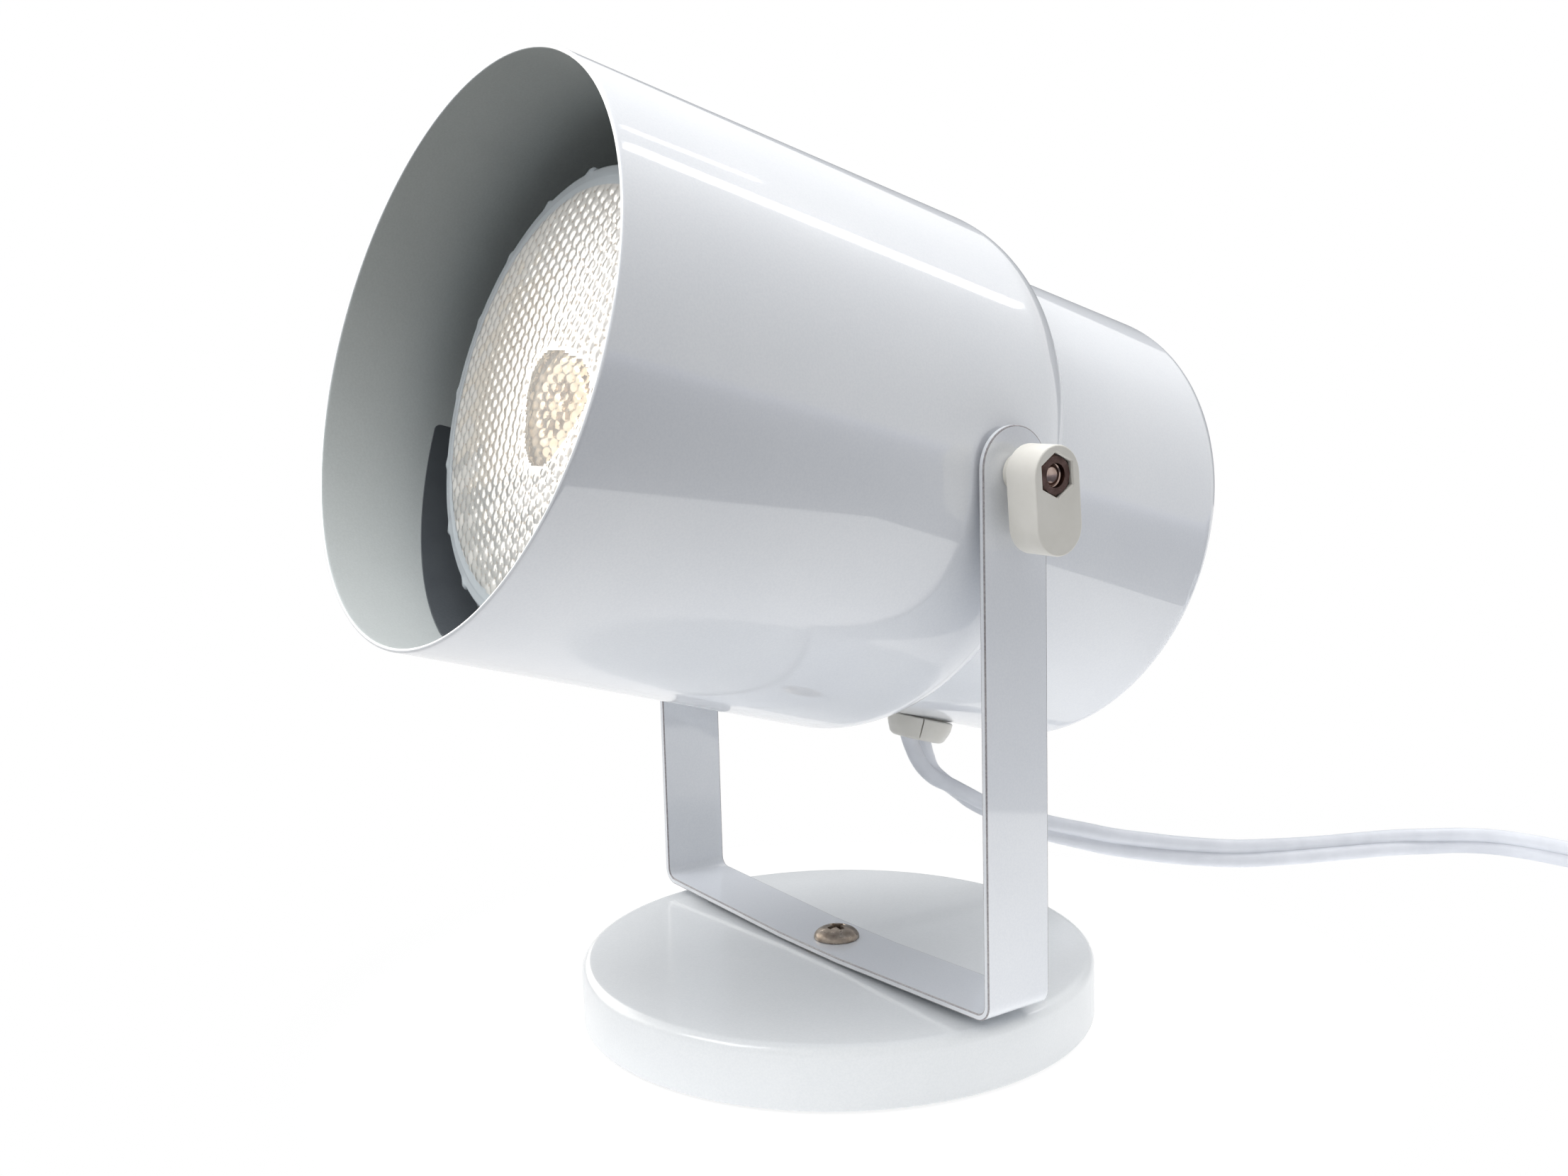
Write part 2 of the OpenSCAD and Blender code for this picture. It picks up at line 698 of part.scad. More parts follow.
module holder_screw() {
    color("silver") on_lamp() translate([0, 0, holder_back - bracket_t]) small_screw(bracket_t + screw_bite);
}

module bracket_screws() {
    color("silver") on_lamp() for (s = [-1, 1]) translate([s*foot_screw_x, 0, -can_end])
        small_screw(can_wall + bracket_t + small_nut_h + bolt_proud);
}

module bracket_nuts() {
    color("silver") on_lamp() for (s = [-1, 1]) translate([s*foot_screw_x, 0, can_floor + bracket_t])
        hex_nut(small_nut_af, small_nut_h, small_d/2 + slip_clear);
}

module terminal_screws() {
    head_z = holder_back - terminal_h;
    color("gold") on_lamp() for (s = [-1, 1]) translate([s*terminal_x, terminal_y, head_z]) {
        cylinder(d = small_d, h = terminal_h + screw_bite);
        mirror([0, 0, 1]) dome_head(small_head_d, small_head_h/2);
    }
}

// The two leads go up through the bushing and each ends against its terminal screw
module lead_wires() {
    lead_end = terminal_y - lamp_drop - small_d/2 - face_gap;
    lead_z = holder_back - terminal_h/2;
    color("white") on_head() for (s = [-1, 1]) {
        start_z = -bush_back + s*lead_pitch/2;
        route = [[0, -bush_out, start_z], [0, -bush_tip, start_z], [s*3, 7 - bush_tip, start_z],
            [s*7, lead_end - 10, (lead_z - bush_back)/2], [s*terminal_x, lead_end - 3, lead_z],
            [s*terminal_x, lead_end, lead_z]];
        last = len(route) - 1;
        tube([for (i = [0:last]) tube_ring(route[i], i == 0 || i == last ? [0, 1, 0] : way_at(route, i),
            [0, 0, 1], round_section(lead_d, 8))]);
    }
}

// A domed bolt with a square neck that the hood's square hole keeps from turning
module pivot_bolt(side) {
    neck_l = hood_r - bolt_seat;
    color("rosybrown") on_head() on_side(side) rotate([0, 90, 0]) translate([0, 0, bolt_seat]) {
        mirror([0, 0, 1]) dome_head(bolt_head_d, bolt_head_h);
        translate([0, 0, neck_l/2]) cube([bolt_d, bolt_d, neck_l], center = true);
        cylinder(d = bolt_d, h = bolt_end - bolt_seat);
    }
}
module pivot_bolt_right() { pivot_bolt(1); }
module pivot_bolt_left() { pivot_bolt(-1); }

module pivot_washer(side) {
    color("tan") on_pivot(side) translate([0, 0, hood_r + face_gap])
        ring_disc(pivot_washer_d, bolt_d/2 + run_clear, pivot_washer_t);
}
module pivot_washer_right() { pivot_washer(1); }
module pivot_washer_left() { pivot_washer(-1); }

module knob(side) {
    r = knob_w/2;
    color("oldlace") on_pivot(side, knob_lean) difference() {
        union() {
            translate([0, 0, knob_start]) cylinder(d = hub_d, h = hub_l + cut);
            translate([0, 0, knob_start + hub_l]) linear_extrude(knob_l - hub_l) {
                circle(r);
                translate([knob_drop - r, 0]) circle(r);
                translate([0, -r]) square([knob_drop - r, knob_w]);
            }
        }
        translate([0, 0, knob_start - cut]) cylinder(r = bolt_d/2 + run_clear, h = knob_l + 2*cut);
        translate([0, 0, nut_face - nut_h - face_gap])
            cylinder(r = nut_r + nut_play, h = nut_h + nut_sink + cut, $fn = 6);
    }
}
module knob_right() { knob(1); }
module knob_left() { knob(-1); }

module knob_nut(side) {
    color("sienna") on_pivot(side, knob_lean) translate([0, 0, nut_face - nut_h])
        hex_nut(nut_af, nut_h, bolt_d/2 + run_clear);
}
module knob_nut_right() { knob_nut(1); }
module knob_nut_left() { knob_nut(-1); }

module cord_bushing() {
    r = bush_d/2;
    nose_r = bush_nose_d/2;
    bevel = 1.2;
    slot_r = cord_t/2 + slip_clear;
    color("oldlace") on_head() translate([0, 0, -bush_back]) rotate([90, 0, 0]) difference() {
        rotate_extrude() polygon([[0, bush_out], [nose_r, bush_out], [(r + nose_r + bevel)/2, bush_out - bevel],
            [r, bush_seat + bush_h/3], [r, bush_seat], [bush_neck_r, bush_seat], [bush_neck_r, bush_lip],
            [bush_lip_r, bush_lip], [bush_neck_r, bush_lip - 3*bevel], [cord_w/2 + bevel, bush_tip],
            [0, bush_tip]]);
        for (s = [-1, 1]) translate([0, s*lead_pitch/2, bush_tip - cut])
            cylinder(r = slot_r, h = bush_out - bush_tip + 2*cut);
        translate([-slot_r, -lead_pitch/2, bush_tip - cut])
            cube([2*slot_r, lead_pitch, bush_out - bush_tip + 2*cut]);
    }
}

// Rings of the cord from the bushing to the coil
function cord_rings() = let (
        points = concat([cord_exit + face_gap*bush_way], [for (c = cord_points) c[0]], [lead_in]),
        edges = concat([[0, 1, 0]], [for (c = cord_points) c[1]], [[0, 0, -1]]),
        last = len(points) - 1)
    [for (i = [0:last]) tube_ring(points[i], i == 0 ? bush_way : i == last ? [1, 0, 0] : way_at(points, i),
        edges[i], twin_section(cord_w, cord_t))];

module cord_drop() {
    rings = cord_rings();
    color("white") tube([for (i = [0:floor_point]) rings[i]]);
}

module cord_floor() {
    rings = cord_rings();
    color("white") tube([for (i = [floor_point:len(rings) - 1]) rings[i]]);
}

// A point of the coil at angle a along its turns, and the tail that runs down to the plug
function coil_at(angle, r, z) = let (a = angle + coil_start_angle) [coil_x + r*cos(a), coil_y + r*sin(a), z];
function turn_point(a) = coil_at(a, coil_in_r + coil_pitch*abs(a - coil_mid)/360,
    coil_z + (coil_top_z - coil_z)*ease((a - coil_mid + 90)/180));
function tail_point(u) = coil_at(2*coil_mid + tail_turn*u, coil_out_r + tail_out*ease(u),
    coil_top_z + (plug_z - coil_top_z)*ease((u - 0.35)/0.65));
function tail_edge(u) = let (a = 2*coil_mid + tail_turn*u + coil_start_angle, roll = 90*ease((u - 0.2)/0.8))
    [cos(a)*sin(roll), sin(a)*sin(roll), cos(roll)];
plug_way = let (a = tail_turn + coil_start_angle) [-sin(a), cos(a), 0];
plug_at = tail_point(1) + cord_w*plug_way;

function coil_points() = concat([lead_in],
    [for (i = [0:coil_turns*coil_rings]) turn_point(360*i/coil_rings)],
    [for (i = [1:tail_rings]) tail_point(i/tail_rings)],
    [plug_at]);
function coil_edges() = concat([for (i = [0:coil_turns*coil_rings + 1]) [0, 0, 1]],
    [for (i = [1:tail_rings]) tail_edge(i/tail_rings)], [tail_edge(1)]);
function coil_ring_list() = let (points = coil_points(), edges = coil_edges(), last = len(points) - 1)
    [for (i = [0:last]) tube_ring(points[i], i < 2 ? [1, 0, 0] : i >= last - 1 ? plug_way : way_at(points, i),
        edges[i], coil_section(cord_w, cord_t))];

module cord_coil() {
    points = coil_points();
    rings = coil_ring_list();
    near = cord_w + cord_t;
    gaps = [for (i = [0:len(points) - 1], j = [i + coil_rings/2:1:len(points) - 1])
        if (norm(points[i] - points[j]) < near) min([for (p = rings[i], q = rings[j]) norm(p - q)])];
    echo("least gap between the coil's turns, mm", min(gaps));
    color("white") tube(rings);
}

// A band round the coil's turns, on the side towards the lamp
module cord_tie() {
    inside = coil_in_r - cord_t/2 - tie_gap;
    outside = coil_out_r + cord_t/2 + tie_gap;
    low = coil_z - cord_w/2 - tie_gap;
    high = coil_top_z + cord_w/2 + tie_gap;
    color("dimgray") translate([coil_x, coil_y - tie_w/2, 0]) mirror([1, 0, 0]) difference() {
        translate([inside - tie_t, 0, low - tie_t])
            cube([outside - inside + 2*tie_t, tie_w, high - low + 2*tie_t]);
        translate([inside, -cut, low]) cube([outside - inside, tie_w + 2*cut, high - low]);
    }
}

// Puts a piece drawn along z, x across, at the end of the cord
module on_plug() {
    translate(plug_at + face_gap*plug_way) rotate([0, 0, tail_turn + coil_start_angle])
        rotate([-90, 0, 0]) children();
}

module plug_body() {
    slot_w = blade_t + 2*slip_clear;
    slot_h = blade_w + 2*slip_clear;
    color("white") on_plug() difference() {
        rotate([90, 0, 0]) linear_extrude(plug_t, center = true)
            polygon([[-plug_tail_w/2, 0], [plug_tail_w/2, 0], [plug_w/2 - plug_bevel, plug_shoulder],
                [plug_w/2, plug_shoulder + plug_bevel], [plug_w/2, plug_l], [-plug_w/2, plug_l],
                [-plug_w/2, plug_shoulder + plug_bevel], [-plug_w/2 + plug_bevel, plug_shoulder]]);
        for (s = [-1, 1]) translate([s*blade_pitch/2 - slot_w/2, -slot_h/2, plug_l - blade_sink])
            cube([slot_w, slot_h, blade_sink + cut]);
    }
}

module plug_blades() {
    hole_z = plug_l + blade_l - blade_hole_in;
    color("silver") on_plug() for (s = [-1, 1]) difference() {
        translate([s*blade_pitch/2 - blade_t/2, -blade_w/2, plug_l - blade_sink])
            cube([blade_t, blade_w, blade_l + blade_sink]);
        translate([s*blade_pitch/2 - blade_t, 0, hole_z]) rotate([0, 90, 0])
            cylinder(d = blade_hole_d, h = 2*blade_t);
    }
}

base_pan();
base_weight();
base_pad();
swivel_screw();
swivel_nut();
swivel_lock_washer();
swivel_washer();
yoke();
hood();
rear_can();
blank_plate();
lamp_reflector();
lamp_lens();
lamp_burner();
lamp_cap();
lamp_insulator();
lamp_contact();
holder_body();
holder_shell();
holder_contact();
holder_bracket();
holder_screw();
bracket_screws();
bracket_nuts();
terminal_screws();
lead_wires();
pivot_bolt_right();
pivot_bolt_left();
pivot_washer_right();
pivot_washer_left();
knob_right();
knob_left();
knob_nut_right();
knob_nut_left();
cord_bushing();
cord_drop();
cord_floor();
cord_coil();
cord_tie();
plug_body();
plug_blades();
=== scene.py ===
# A small landscape spotlight for a shelf or floor: an enamelled hood and can held in a bent strip yoke
# on a weighted round base, with a flood lamp inside and a flat white twin cord.
import json
from math import acos, asin, atan, atan2, cos, degrees, hypot, pi, radians, sin, sqrt, tan, tau

import bmesh
import bpy
from mathutils import Matrix, Vector


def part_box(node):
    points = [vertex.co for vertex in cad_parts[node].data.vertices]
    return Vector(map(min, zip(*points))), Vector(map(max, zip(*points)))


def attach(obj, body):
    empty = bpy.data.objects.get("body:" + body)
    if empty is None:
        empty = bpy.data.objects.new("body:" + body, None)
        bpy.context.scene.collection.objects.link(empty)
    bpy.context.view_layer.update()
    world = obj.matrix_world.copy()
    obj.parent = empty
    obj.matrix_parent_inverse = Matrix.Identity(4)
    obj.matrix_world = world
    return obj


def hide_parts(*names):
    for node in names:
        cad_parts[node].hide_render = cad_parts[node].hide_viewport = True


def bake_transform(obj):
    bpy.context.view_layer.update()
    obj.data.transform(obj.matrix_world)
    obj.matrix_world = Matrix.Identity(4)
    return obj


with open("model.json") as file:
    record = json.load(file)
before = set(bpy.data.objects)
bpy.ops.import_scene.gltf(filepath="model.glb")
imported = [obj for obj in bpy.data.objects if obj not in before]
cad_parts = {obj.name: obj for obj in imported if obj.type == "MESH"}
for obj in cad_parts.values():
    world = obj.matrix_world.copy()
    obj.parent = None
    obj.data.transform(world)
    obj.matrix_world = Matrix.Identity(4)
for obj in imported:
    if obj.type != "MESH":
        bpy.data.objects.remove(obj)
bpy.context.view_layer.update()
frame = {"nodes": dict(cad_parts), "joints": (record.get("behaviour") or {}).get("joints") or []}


# Studio: white paper on a dark table and a white surround. A wide soft light hangs overhead, a smaller one
# before the hood's mouth and two narrow strips behind on the right; three cards show in gloss alone.
# The camera stands in front on the right, a little above the lamp's middle.
MM = 0.001
scene = bpy.context.scene
scene.view_settings.view_transform = "Standard"

picture_width = 2212
focal_pixels = 2445


def placed(name, data):
    """A new object of this data, in the scene."""
    made = bpy.data.objects.new(name, data)
    scene.collection.objects.link(made)
    return made


camera_data = bpy.data.cameras.new("camera")
camera_data.sensor_fit = "HORIZONTAL"
camera_data.sensor_width = 36
camera_data.lens = camera_data.sensor_width*focal_pixels/picture_width
camera = placed("camera", camera_data)
scene.camera = camera
camera_place = (333.23*MM, -249.90*MM, 166.42*MM)
camera_turn = radians(54.62)
camera_down = radians(8.307)
camera_roll = radians(-1.548)
camera.matrix_world = (Matrix.Translation(camera_place) @ Matrix.Rotation(camera_turn, 4, "Z")
                       @ Matrix.Rotation(pi/2 - camera_down, 4, "X")
                       @ Matrix.Rotation(camera_roll, 4, "Z"))


def node(tree, kind, sockets=None, out=0, **settings):
    """An output of a new shader node; a socket in sockets is joined, any other value is set."""
    made = tree.nodes.new("ShaderNode" + kind)
    for name, value in settings.items():
        setattr(made, name, value)
    for name, value in (sockets or {}).items():
        if isinstance(value, bpy.types.NodeSocket):
            tree.links.new(value, made.inputs[name])
        else:
            made.inputs[name].default_value = value
    return made.outputs[out] if made.outputs else None


def maths(tree, operation, one, two):
    """The sum, product or maximum of two values."""
    return node(tree, "Math", {0: one, 1: two}, operation=operation)


def ranged(tree, value, start, end, low, high, **settings):
    """Goes from low to high while value goes from start to end."""
    return node(tree, "MapRange", {"Value": value, 1: start, 2: end, 3: low, 4: high}, **settings)


def seen_white(tree):
    """A value of 1 where the camera, a reflection or clear glass looks, and 0 for light that only fills."""
    path = tree.nodes.new("ShaderNodeLightPath").outputs
    mirrored = maths(tree, "MAXIMUM", path["Is Camera Ray"], path["Is Glossy Ray"])
    return maths(tree, "MAXIMUM", mirrored, path["Is Transmission Ray"])


fill_strength = 0.25
surround = bpy.data.worlds.new("surround")
surround.use_nodes = True
sky = surround.node_tree
sky.nodes.clear()
fill = node(sky, "Background", {"Color": (0.94, 0.97, 1, 1), "Strength": fill_strength})
white = node(sky, "Background", {"Color": (1, 1, 1, 1), "Strength": 1})
both = node(sky, "MixShader", {0: seen_white(sky), 1: fill, 2: white})
node(sky, "OutputWorld", {"Surface": both})
scene.world = surround


def bare_material(name):
    """A new material and its empty node tree."""
    material = bpy.data.materials.new(name)
    material.use_nodes = True
    material.node_tree.nodes.clear()
    return material, material.node_tree


half_floor = 4
floor_drop = 0.2*MM
paper_glow = 0.38
glow_middle = (0.08, 0.06, 0)
glow_reach = (0.12, 0.27)
sheet_edge = (0.2, 0.27)
sheet_white, table_grey = 0.92, 0.12
white_share = (0.8, 1)
white_reach = (0.066, 0.14)
paper, paper_tree = bare_material("paper")
paper_at = node(paper_tree, "TexCoord", out="Object")
from_middle = node(paper_tree, "VectorMath", {0: paper_at}, out="Value", operation="LENGTH")
from_glow = node(paper_tree, "VectorMath", {0: paper_at, 1: glow_middle}, out="Value", operation="DISTANCE")
glow = ranged(paper_tree, from_glow, *glow_reach, paper_glow, 0, interpolation_type="SMOOTHSTEP")
underlit = node(paper_tree, "Emission", {"Color": (0.97, 0.98, 1, 1), "Strength": glow})
sheet = ranged(paper_tree, from_glow, *sheet_edge, sheet_white, table_grey, interpolation_type="SMOOTHSTEP")
lit_paper = node(paper_tree, "BsdfDiffuse", {"Color": sheet})
paper_light = node(paper_tree, "AddShader", {0: lit_paper, 1: underlit})
white_paper = node(paper_tree, "Emission", {"Color": (1, 1, 1, 1), "Strength": 1})
far_white = ranged(paper_tree, from_middle, *white_reach, *white_share)
whiteness = maths(paper_tree, "MULTIPLY", seen_white(paper_tree), far_white)
paper_face = node(paper_tree, "MixShader", {0: whiteness, 1: paper_light, 2: white_paper})
node(paper_tree, "OutputMaterial", {"Surface": paper_face})


def flat_sheets(name, outlines, material):
    """A new object of flat sheets with four corners each."""
    mesh = bpy.data.meshes.new(name)
    mesh.from_pydata([corner for outline in outlines for corner in outline], [],
                     [range(4*k, 4*k + 4) for k in range(len(outlines))])
    mesh.materials.append(material)
    return placed(name, mesh)


floor_corners = [(x*half_floor, y*half_floor, -floor_drop) for x, y in ((-1, -1), (1, -1), (1, 1), (-1, 1))]
floor = flat_sheets("floor", [floor_corners], paper)


def soft_light(name, place, aim, size, power, mirrored=True):
    """A rectangular soft light at place that faces aim, in metres and watts; mirrored ones show in gloss."""
    light = bpy.data.lights.new(name, "AREA")
    light.shape = "RECTANGLE"
    light.size, light.size_y = size
    light.energy = power
    lamp = placed(name, light)
    lamp.location = place
    lamp.rotation_euler = (Vector(aim) - Vector(place)).to_track_quat("-Z", "Y").to_euler()
    lamp.visible_glossy = mirrored


lamp_middle = (0, 0, 0.14)
soft_light("overhead", (-0.02, 0.14, 1.1), (-0.02, 0, 0.14), (1.7, 2.1), 19, mirrored=False)
soft_light("front", (-0.14, -0.77, 0.98), lamp_middle, (0.6, 0.6), 7.6)
soft_light("window", (0.08, 0.985, 1.02), lamp_middle, (0.08, 0.4), 1)
soft_light("window_bar", (-0.12, 0.787, 1.015), lamp_middle, (0.03, 0.12), 0.11)
card_reach = (0.3, 3)


def mirror_card(name, outlines, shade, paling):
    """Cards that show in gloss alone; at the far end of card_reach they glow paling times as much."""
    glowing, tree = bare_material(name)
    at = node(tree, "TexCoord", out="Object")
    away = node(tree, "VectorMath", {0: at}, out="Value", operation="LENGTH")
    paler = ranged(tree, away, *card_reach, 1, paling)
    node(tree, "OutputMaterial", {"Surface": node(tree, "Emission", {"Color": shade, "Strength": paler})})
    card = flat_sheets(name, outlines, glowing)
    card.visible_camera = card.visible_diffuse = card.visible_transmission = card.visible_shadow = False


def upright(foot, low, high):
    """Corners of a card that stands over the two points of its foot."""
    return [(x, y, low) for x, y in foot] + [(x, y, high) for x, y in foot[::-1]]


# The paper ends in a corner on the right, and the dark table goes on from there
table_lift = 0.001
table_sides = [[(0.105, -0.21), (0.25, 0.097), (5, 2.1), (5, -1)],
               [(0.25, 0.097), (0, 0.355), (1.4, 5), (5, 2.1)]]
mirror_card("dark_table", [[(x, y, table_lift) for x, y in side] for side in table_sides],
            (0.19, 0.195, 0.225, 1), 4.5)
wall_top = 0.55
mirror_card("wall_behind", [upright([(-0.07, 1.62), (-1.55, -0.48)], 0, wall_top)], (0.3, 0.31, 0.33, 1), 1)
# A bright screen on the left, which glints in the lens
screen_low, screen_high = 0.15, 0.75
mirror_card("bright_screen", [upright([(-1, 0.3), (-0.72, -0.75)], screen_low, screen_high)],
            (3.5, 3.4, 3.2, 1), 1)


# Base pan: a shallow round cap pressed from sheet steel, with a soft top edge, enamelled white.
# The swivel screw goes down through its middle.
base_low, base_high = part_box("base_pan")
base_radius = (base_high.x - base_low.x)/2
base_wall = 1.2*MM
base_edge = 2.4*MM
screw_hole = 2.6*MM


def arc(centre, radius, start, end, steps):
    """Points of an arc in a flat drawing or a half section; angles in degrees, 0 outward and 90 up."""
    turns = [radians(start + (end - start)*i/steps) for i in range(steps + 1)]
    return [(centre[0] + radius*cos(t), centre[1] + radius*sin(t)) for t in turns]


def circle(x, y, radius, sides=48):
    """Points of a circle in a flat drawing."""
    turns = [tau*i/sides for i in range(sides)]
    return [(x + radius*cos(t), y + radius*sin(t)) for t in turns]


def bridge(made, rings, closed=False):
    """New faces of a bmesh between neighbouring rings, and between the last and the first where closed."""
    faces = []
    for one, two in zip(rings, rings[1:] + (rings[:1] if closed else [])):
        for k in range(len(one)):
            after = (k + 1) % len(one)
            faces.append(made.faces.new(list(dict.fromkeys((one[k], one[after], two[after], two[k])))))
    return faces


def turned(profile, sides=192):
    """A bmesh of a half section (radius, height) turned round the z axis; a point on the axis is a pole."""
    made = bmesh.new()
    on_axis = 1e-7
    rings = []
    for radius, height in profile:
        if radius < on_axis:
            rings.append([made.verts.new((0, 0, height))]*sides)
        else:
            rings.append([made.verts.new((x, y, height)) for x, y in circle(0, 0, radius, sides)])
    bridge(made, rings, closed=profile[0][0] > on_axis and profile[-1][0] > on_axis)
    return made


def made_mesh(name, maker):
    """A mesh of a bmesh, which is used up."""
    mesh = bpy.data.meshes.new(name)
    maker.to_mesh(mesh)
    maker.free()
    return mesh


def smooth(mesh, crease):
    """Shades a mesh smooth but for edges sharper than crease."""
    mesh.polygons.foreach_set("use_smooth", [True]*len(mesh.polygons))
    mesh.set_sharp_from_angle(angle=radians(crease))


def keep(name, maker, body, materials, crease=35, place=None):
    """Makes a shown piece of a bmesh, smooth but for edges sharper than crease, riding on a body."""
    if place is not None:
        maker.transform(place)
    bmesh.ops.recalc_face_normals(maker, faces=maker.faces)
    mesh = made_mesh(name, maker)
    smooth(mesh, crease)
    for material in materials:
        mesh.materials.append(material)
    piece = placed(name, mesh)
    if body:
        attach(piece, body)
    return piece


def skin_group(name, *inputs):
    """A node group whose first two inputs are colours: its tree, its input and its output sockets."""
    tree = bpy.data.node_groups.new(name, "ShaderNodeTree")
    colours = inputs[:2] + ("Color",)
    for way, sockets in (("INPUT", inputs), ("OUTPUT", ("Color", "Roughness", "Height"))):
        for socket in sockets:
            kind = "NodeSocketColor" if socket in colours else "NodeSocketFloat"
            tree.interface.new_socket(socket, in_out=way, socket_type=kind)
    return tree, tree.nodes.new("NodeGroupInput").outputs, tree.nodes.new("NodeGroupOutput").inputs


def noise(tree, scale, detail):
    """A noise over a piece's own space, with about scale lumps to a metre."""
    at = node(tree, "TexCoord", out="Object")
    return node(tree, "TexNoise", {"Vector": at, "Scale": scale, "Detail": detail})


def spread(tree, value, low, high):
    """A noise value, which stays near its middle, spread out between low and high."""
    return ranged(tree, value, 0.32, 0.68, low, high)


def end_skin(tree, inputs, outputs, share, wear, height):
    """Ends a skin group: its two colours mixed by share, its roughness by wear, and its relief."""
    colour = node(tree, "Mix", {0: share, 6: inputs[0], 7: inputs[1]}, out=2, data_type="RGBA")
    rough = ranged(tree, wear, 0.3, 0.7, inputs["Smooth"], inputs["Rough"])
    for socket, value in (("Color", colour), ("Roughness", rough), ("Height", height)):
        tree.links.new(value, outputs[socket])


# Enamel group: a sprayed and baked coat with slow clouds of shade, fine specks and a slight orange peel
enamel_tree, enamel_in, enamel_out = skin_group("enamel_coat", "Paint", "Shade", "Smooth", "Rough")
clouds = noise(enamel_tree, 38, 3)
specks = spread(enamel_tree, noise(enamel_tree, 2100, 1), 0, 0.55)
peel = noise(enamel_tree, 620, 1)
shade_share = maths(enamel_tree, "ADD", spread(enamel_tree, clouds, 0, 0.45), specks)
end_skin(enamel_tree, enamel_in, enamel_out, shade_share, clouds, peel)


def principled(name, plain):
    """A new material with plain values on its shader; also its node tree and the shader's sockets."""
    material = bpy.data.materials.new(name)
    material.use_nodes = True
    shader = material.node_tree.nodes["Principled BSDF"].inputs
    for socket, value in plain.items():
        shader[socket].default_value = value
    return material, material.node_tree, shader


def finish(name, group, values, plain, bump=None):
    """A material: values for the skin group's inputs in their order, plain ones for the shader itself.
    bump is the height in metres of the group's relief."""
    material, tree, shader = principled(name, plain)
    skin = tree.nodes.new("ShaderNodeGroup")
    skin.node_tree = group
    for socket, value in zip(skin.inputs, values):
        socket.default_value = (*value, 1) if isinstance(value, tuple) else value
    tree.links.new(skin.outputs["Color"], shader["Base Color"])
    tree.links.new(skin.outputs["Roughness"], shader["Roughness"])
    if bump:
        relief = node(tree, "Bump", {"Height": skin.outputs["Height"], "Distance": bump})
        tree.links.new(relief, shader["Normal"])
    return material


white_enamel = finish("white_enamel", enamel_tree, [(0.82, 0.84, 0.875), (0.76, 0.785, 0.83), 0.3, 0.4],
                      {"Coat Weight": 0.95, "Coat Roughness": 0.05, "Coat IOR": 2, "IOR": 1.5}, bump=0.02*MM)
dull_enamel = finish("dull_enamel", enamel_tree, [(0.86, 0.875, 0.883), (0.8, 0.82, 0.833), 0.35, 0.5],
                     {"Coat Weight": 0.7, "Coat Roughness": 0.13, "IOR": 1.5}, bump=0.02*MM)

lip = base_wall/2
# A ring this far beside each rounding keeps the faces next to it flat in the shading
hold = 0.6*MM
edge_centre = (base_radius - base_edge, base_high.z - base_edge)
base_profile = ([(screw_hole, base_high.z - base_wall), (screw_hole, base_high.z),
                 (base_radius - base_edge - hold, base_high.z)]
                + arc(edge_centre, base_edge, 90, 0, 10)
                + [(base_radius, base_high.z - base_edge - hold), (base_radius, base_low.z + lip + hold)]
                + arc((base_radius - lip, base_low.z + lip), lip, 0, -180, 8)
                + arc(edge_centre, base_edge - base_wall, 0, 90, 6))
base_pan = keep("pressed_base", turned(base_profile), "base", [dull_enamel])
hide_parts("base_pan")


# Cord: a flat white twin cord, two moulded lobes with a groove between them, out of the can's bushing,
# down behind the yoke and along the floor. What the picture doesn't show is coiled under a tie.
cord_width = 8*MM
cord_thick = 4*MM
tilt_joint = next(joint for joint in frame["joints"] if joint["name"] == "tilt")
pivot = Vector(tilt_joint["pos_m"])
head_tilt = radians(17)
head_place = Matrix.Translation(pivot) @ Matrix.Rotation(pi/2 - head_tilt, 4, "X")
bushing_back = 47*MM
bushing_out = 61.95*MM
cord_exit = head_place @ Vector((0, -bushing_out, -bushing_back))
# Each row: a point on the middle line in millimetres, and the way that one of the cord's edges faces
cord_rows = [
    ((0, 28.1, 60), (-0.24, 0.89, 0.39)),
    ((0, 29.9, 56.7), (-0.51, 0.71, 0.48)),
    ((0, 32.3, 53.7), (-0.8, 0.41, 0.43)),
    ((0, 35.7, 51.1), (-0.96, 0.16, 0.22)),
    ((0, 42.6, 46.4), (-1, 0, 0)),
    ((0, 48.6, 42.5), (-0.97, -0.1, -0.2)),
    ((0.4, 59.9, 37), (-0.85, -0.2, -0.5)),
    ((1.2, 71.2, 32), (-0.62, -0.22, -0.75)),
    ((3, 82.7, 28), (-0.44, -0.22, -0.87)),
    ((4.9, 92.2, 24.8), (-0.3, -0.22, -0.93)),
    ((7.3, 102.6, 22), (-0.13, -0.22, -0.97)),
    ((10.3, 114.2, 19.2), (0.04, -0.22, -0.97)),
    ((14.2, 132, 15.6), (0.26, -0.2, -0.94)),
    ((16.1, 149.5, 13), (0.43, -0.16, -0.89)),
    ((17.2, 168, 10.5), (0.54, -0.14, -0.83)),
    ((18.2, 189, 7.9), (0.5, -0.14, -0.85)),
    ((19.5, 203, 6.2), (0.35, -0.1, -0.93)),
    ((21.8, 214.4, 4.8), (0.15, 0, -1)),
    ((26.5, 224.5, 4.2), (0, 0, -1)),
    ((34.5, 231, 4.2), (0, 0, -1)),
    ((46, 234, 4.4), (0, 0, -1)),
    ((61, 234.5, 4.8), (0, 0, -1)),
    ((76, 234.5, 5.1), (0, 0, -1))]
coil_middle = Vector((98*MM, 282*MM, 0))
coil_turns = 6
coil_steps = 36
coil_inner = 31*MM
coil_pitch = 5.5*MM
coil_outer = coil_inner + coil_pitch*coil_turns/2
coil_low = 5.2*MM
